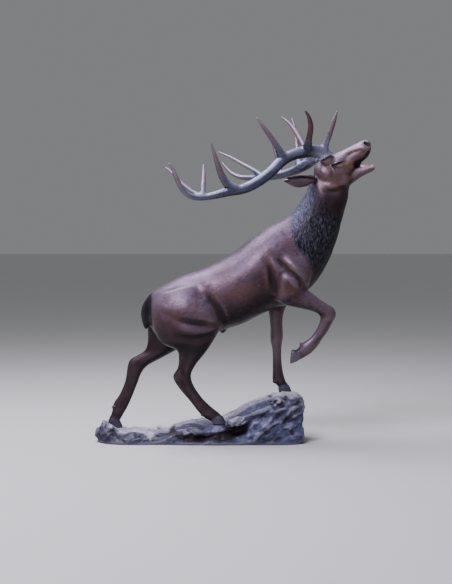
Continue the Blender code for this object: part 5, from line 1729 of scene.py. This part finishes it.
def rock_patina(patina_and_shading, painted_sheen, skin):
    """Slate-blue rock, dark brown in its hollows and pale on its top and edges: the pale top is a painted
    sheen, the dark brown in pits and low parts is painted shade, and the hollow and edge colours are patina
    and rubbing that also stand in for shade and highlights.
    """
    material, tree, shader, place = new_patina("Slate rock bronze", 0.35, 0.06, 0.40, 0.25)
    front, pit, low, hollow = read_marks(tree, "front", "pit", "low", "hollow")
    broad = cloud_mask(tree, place, "rock broad")
    streak = cloud_mask(tree, place, "rock streak")
    blue = layered(tree, ROCK["dark blue"], (broad, ROCK["blue"]), (streak, ROCK["blue streak"]))
    colour = layered(tree, ROCK["dark slate"], (broad, ROCK["slate"]), (streak, ROCK["streak"]),
                     (front, blue))
    # Painted sheen on what faces up, kept off the front, and painted shade on what faces down
    colour = placed(tree, painted_sheen, Color=colour, Place=place, Amount=ramp(tree, front, 1.18, 0.0),
                    Bloom=ROCK["painted_sheen"], Shade=ROCK["shade"], Under=0.85, Rise=0.10)["Color"]
    # Darker patina in hollows and rubbed metal on ridges, which also stand in for shade and highlights
    colour = placed(tree, patina_and_shading, Color=colour, Hollow=hollow, Dark=ROCK["hollow"], Light=ROCK["ridge rub and highlight"],
                    Depth=0.75, Rub=0.45)["Color"]
    # Painted shade in the pits, broken by clouds, and on the low parts
    patchy = plus(tree, pit, times(tree, clouds(tree, place, 26.0, 5.0, 0.7), 0.9))
    colour = layered(tree, colour, (ramp(tree, patchy, 0.80, 1.20, 0.85), ROCK["pit"]),
                     (times(tree, low, 0.60), ROCK["low"]))
    end_patina(tree, shader, place, colour, skin, 0.44, 0.20, 0.55, 1.6)
    return material


def plain_material(name, colour, roughness):
    material = bpy.data.materials.new(name)
    material.use_nodes = True
    shader = material.node_tree.nodes["Principled BSDF"]
    shader.inputs["Base Color"].default_value = (*colour, 1)
    shader.inputs["Roughness"].default_value = roughness
    return material


def lay_floor():
    """A wide, flat and pale floor."""
    bpy.ops.mesh.primitive_plane_add(size=1)
    floor = bpy.context.object
    floor.name = "floor"
    floor.scale = (FLOOR_SIZE, FLOOR_SIZE, 1)
    bpy.ops.object.transform_apply(location=True, rotation=True, scale=True)
    floor.data.materials.append(plain_material("Pale floor", FLOOR_COLOUR, FLOOR_ROUGHNESS))


def soft_light(name, place, size, power, colour):
    """A square area light that faces the sculpture."""
    lamp = bpy.data.lights.new(name, "AREA")
    lamp.shape = "SQUARE"
    lamp.size = size
    lamp.energy = power
    lamp.color = colour
    thing = bpy.data.objects.new(name, lamp)
    thing.location = place
    thing.rotation_euler = (Vector(LIGHT_AIM) - Vector(place)).to_track_quat("-Z", "Y").to_euler()
    bpy.context.scene.collection.objects.link(thing)


def light_studio():
    """An even pale surrounding and two softboxes."""
    world = bpy.data.worlds.new("Soft studio")
    world.use_nodes = True
    background = world.node_tree.nodes["Background"]
    background.inputs["Color"].default_value = (*WORLD_COLOUR, 1)
    background.inputs["Strength"].default_value = WORLD_STRENGTH
    bpy.context.scene.world = world
    for softbox in SOFTBOXES:
        soft_light(*softbox)


def place_camera():
    """The photograph's view: square on to the right side, at about shoulder height."""
    camera = bpy.data.cameras.new("Photograph's view")
    camera.sensor_fit = "VERTICAL"
    camera.sensor_height = SENSOR_HEIGHT
    focal_pixels = CAMERA_DISTANCE / METRES_PER_PIXEL
    camera.lens = focal_pixels * SENSOR_HEIGHT / PHOTO_HEIGHT
    thing = bpy.data.objects.new("Photograph's view", camera)
    pitch = math.atan((PHOTO_HEIGHT / 2 - HORIZON_ROW) / focal_pixels)
    middle_x = (PHOTO_WIDTH / 2 - ORIGIN_COLUMN) * METRES_PER_PIXEL
    thing.location = (middle_x, -CAMERA_DISTANCE, EYE_HEIGHT)
    thing.rotation_euler = (math.pi / 2 - pitch, 0, 0)
    bpy.context.scene.collection.objects.link(thing)
    bpy.context.scene.camera = thing


place_camera()
light_studio()
lay_floor()
effects = (build_patina_and_shading_group(), build_sheen_and_shade_group(), build_skin_group())
make_stag(body_patina(*effects))
silver = antler_patina(*effects)
# The right antler's bez tine gets painted brown shade
make_antler("right", RIGHT_ANTLER, RIGHT_SEAT, RIGHT_SEAT_TILT, silver, "bez tine")
make_antler("left", LEFT_ANTLER, LEFT_SEAT, LEFT_SEAT_TILT, silver)
make_rock(rock_patina(*effects))
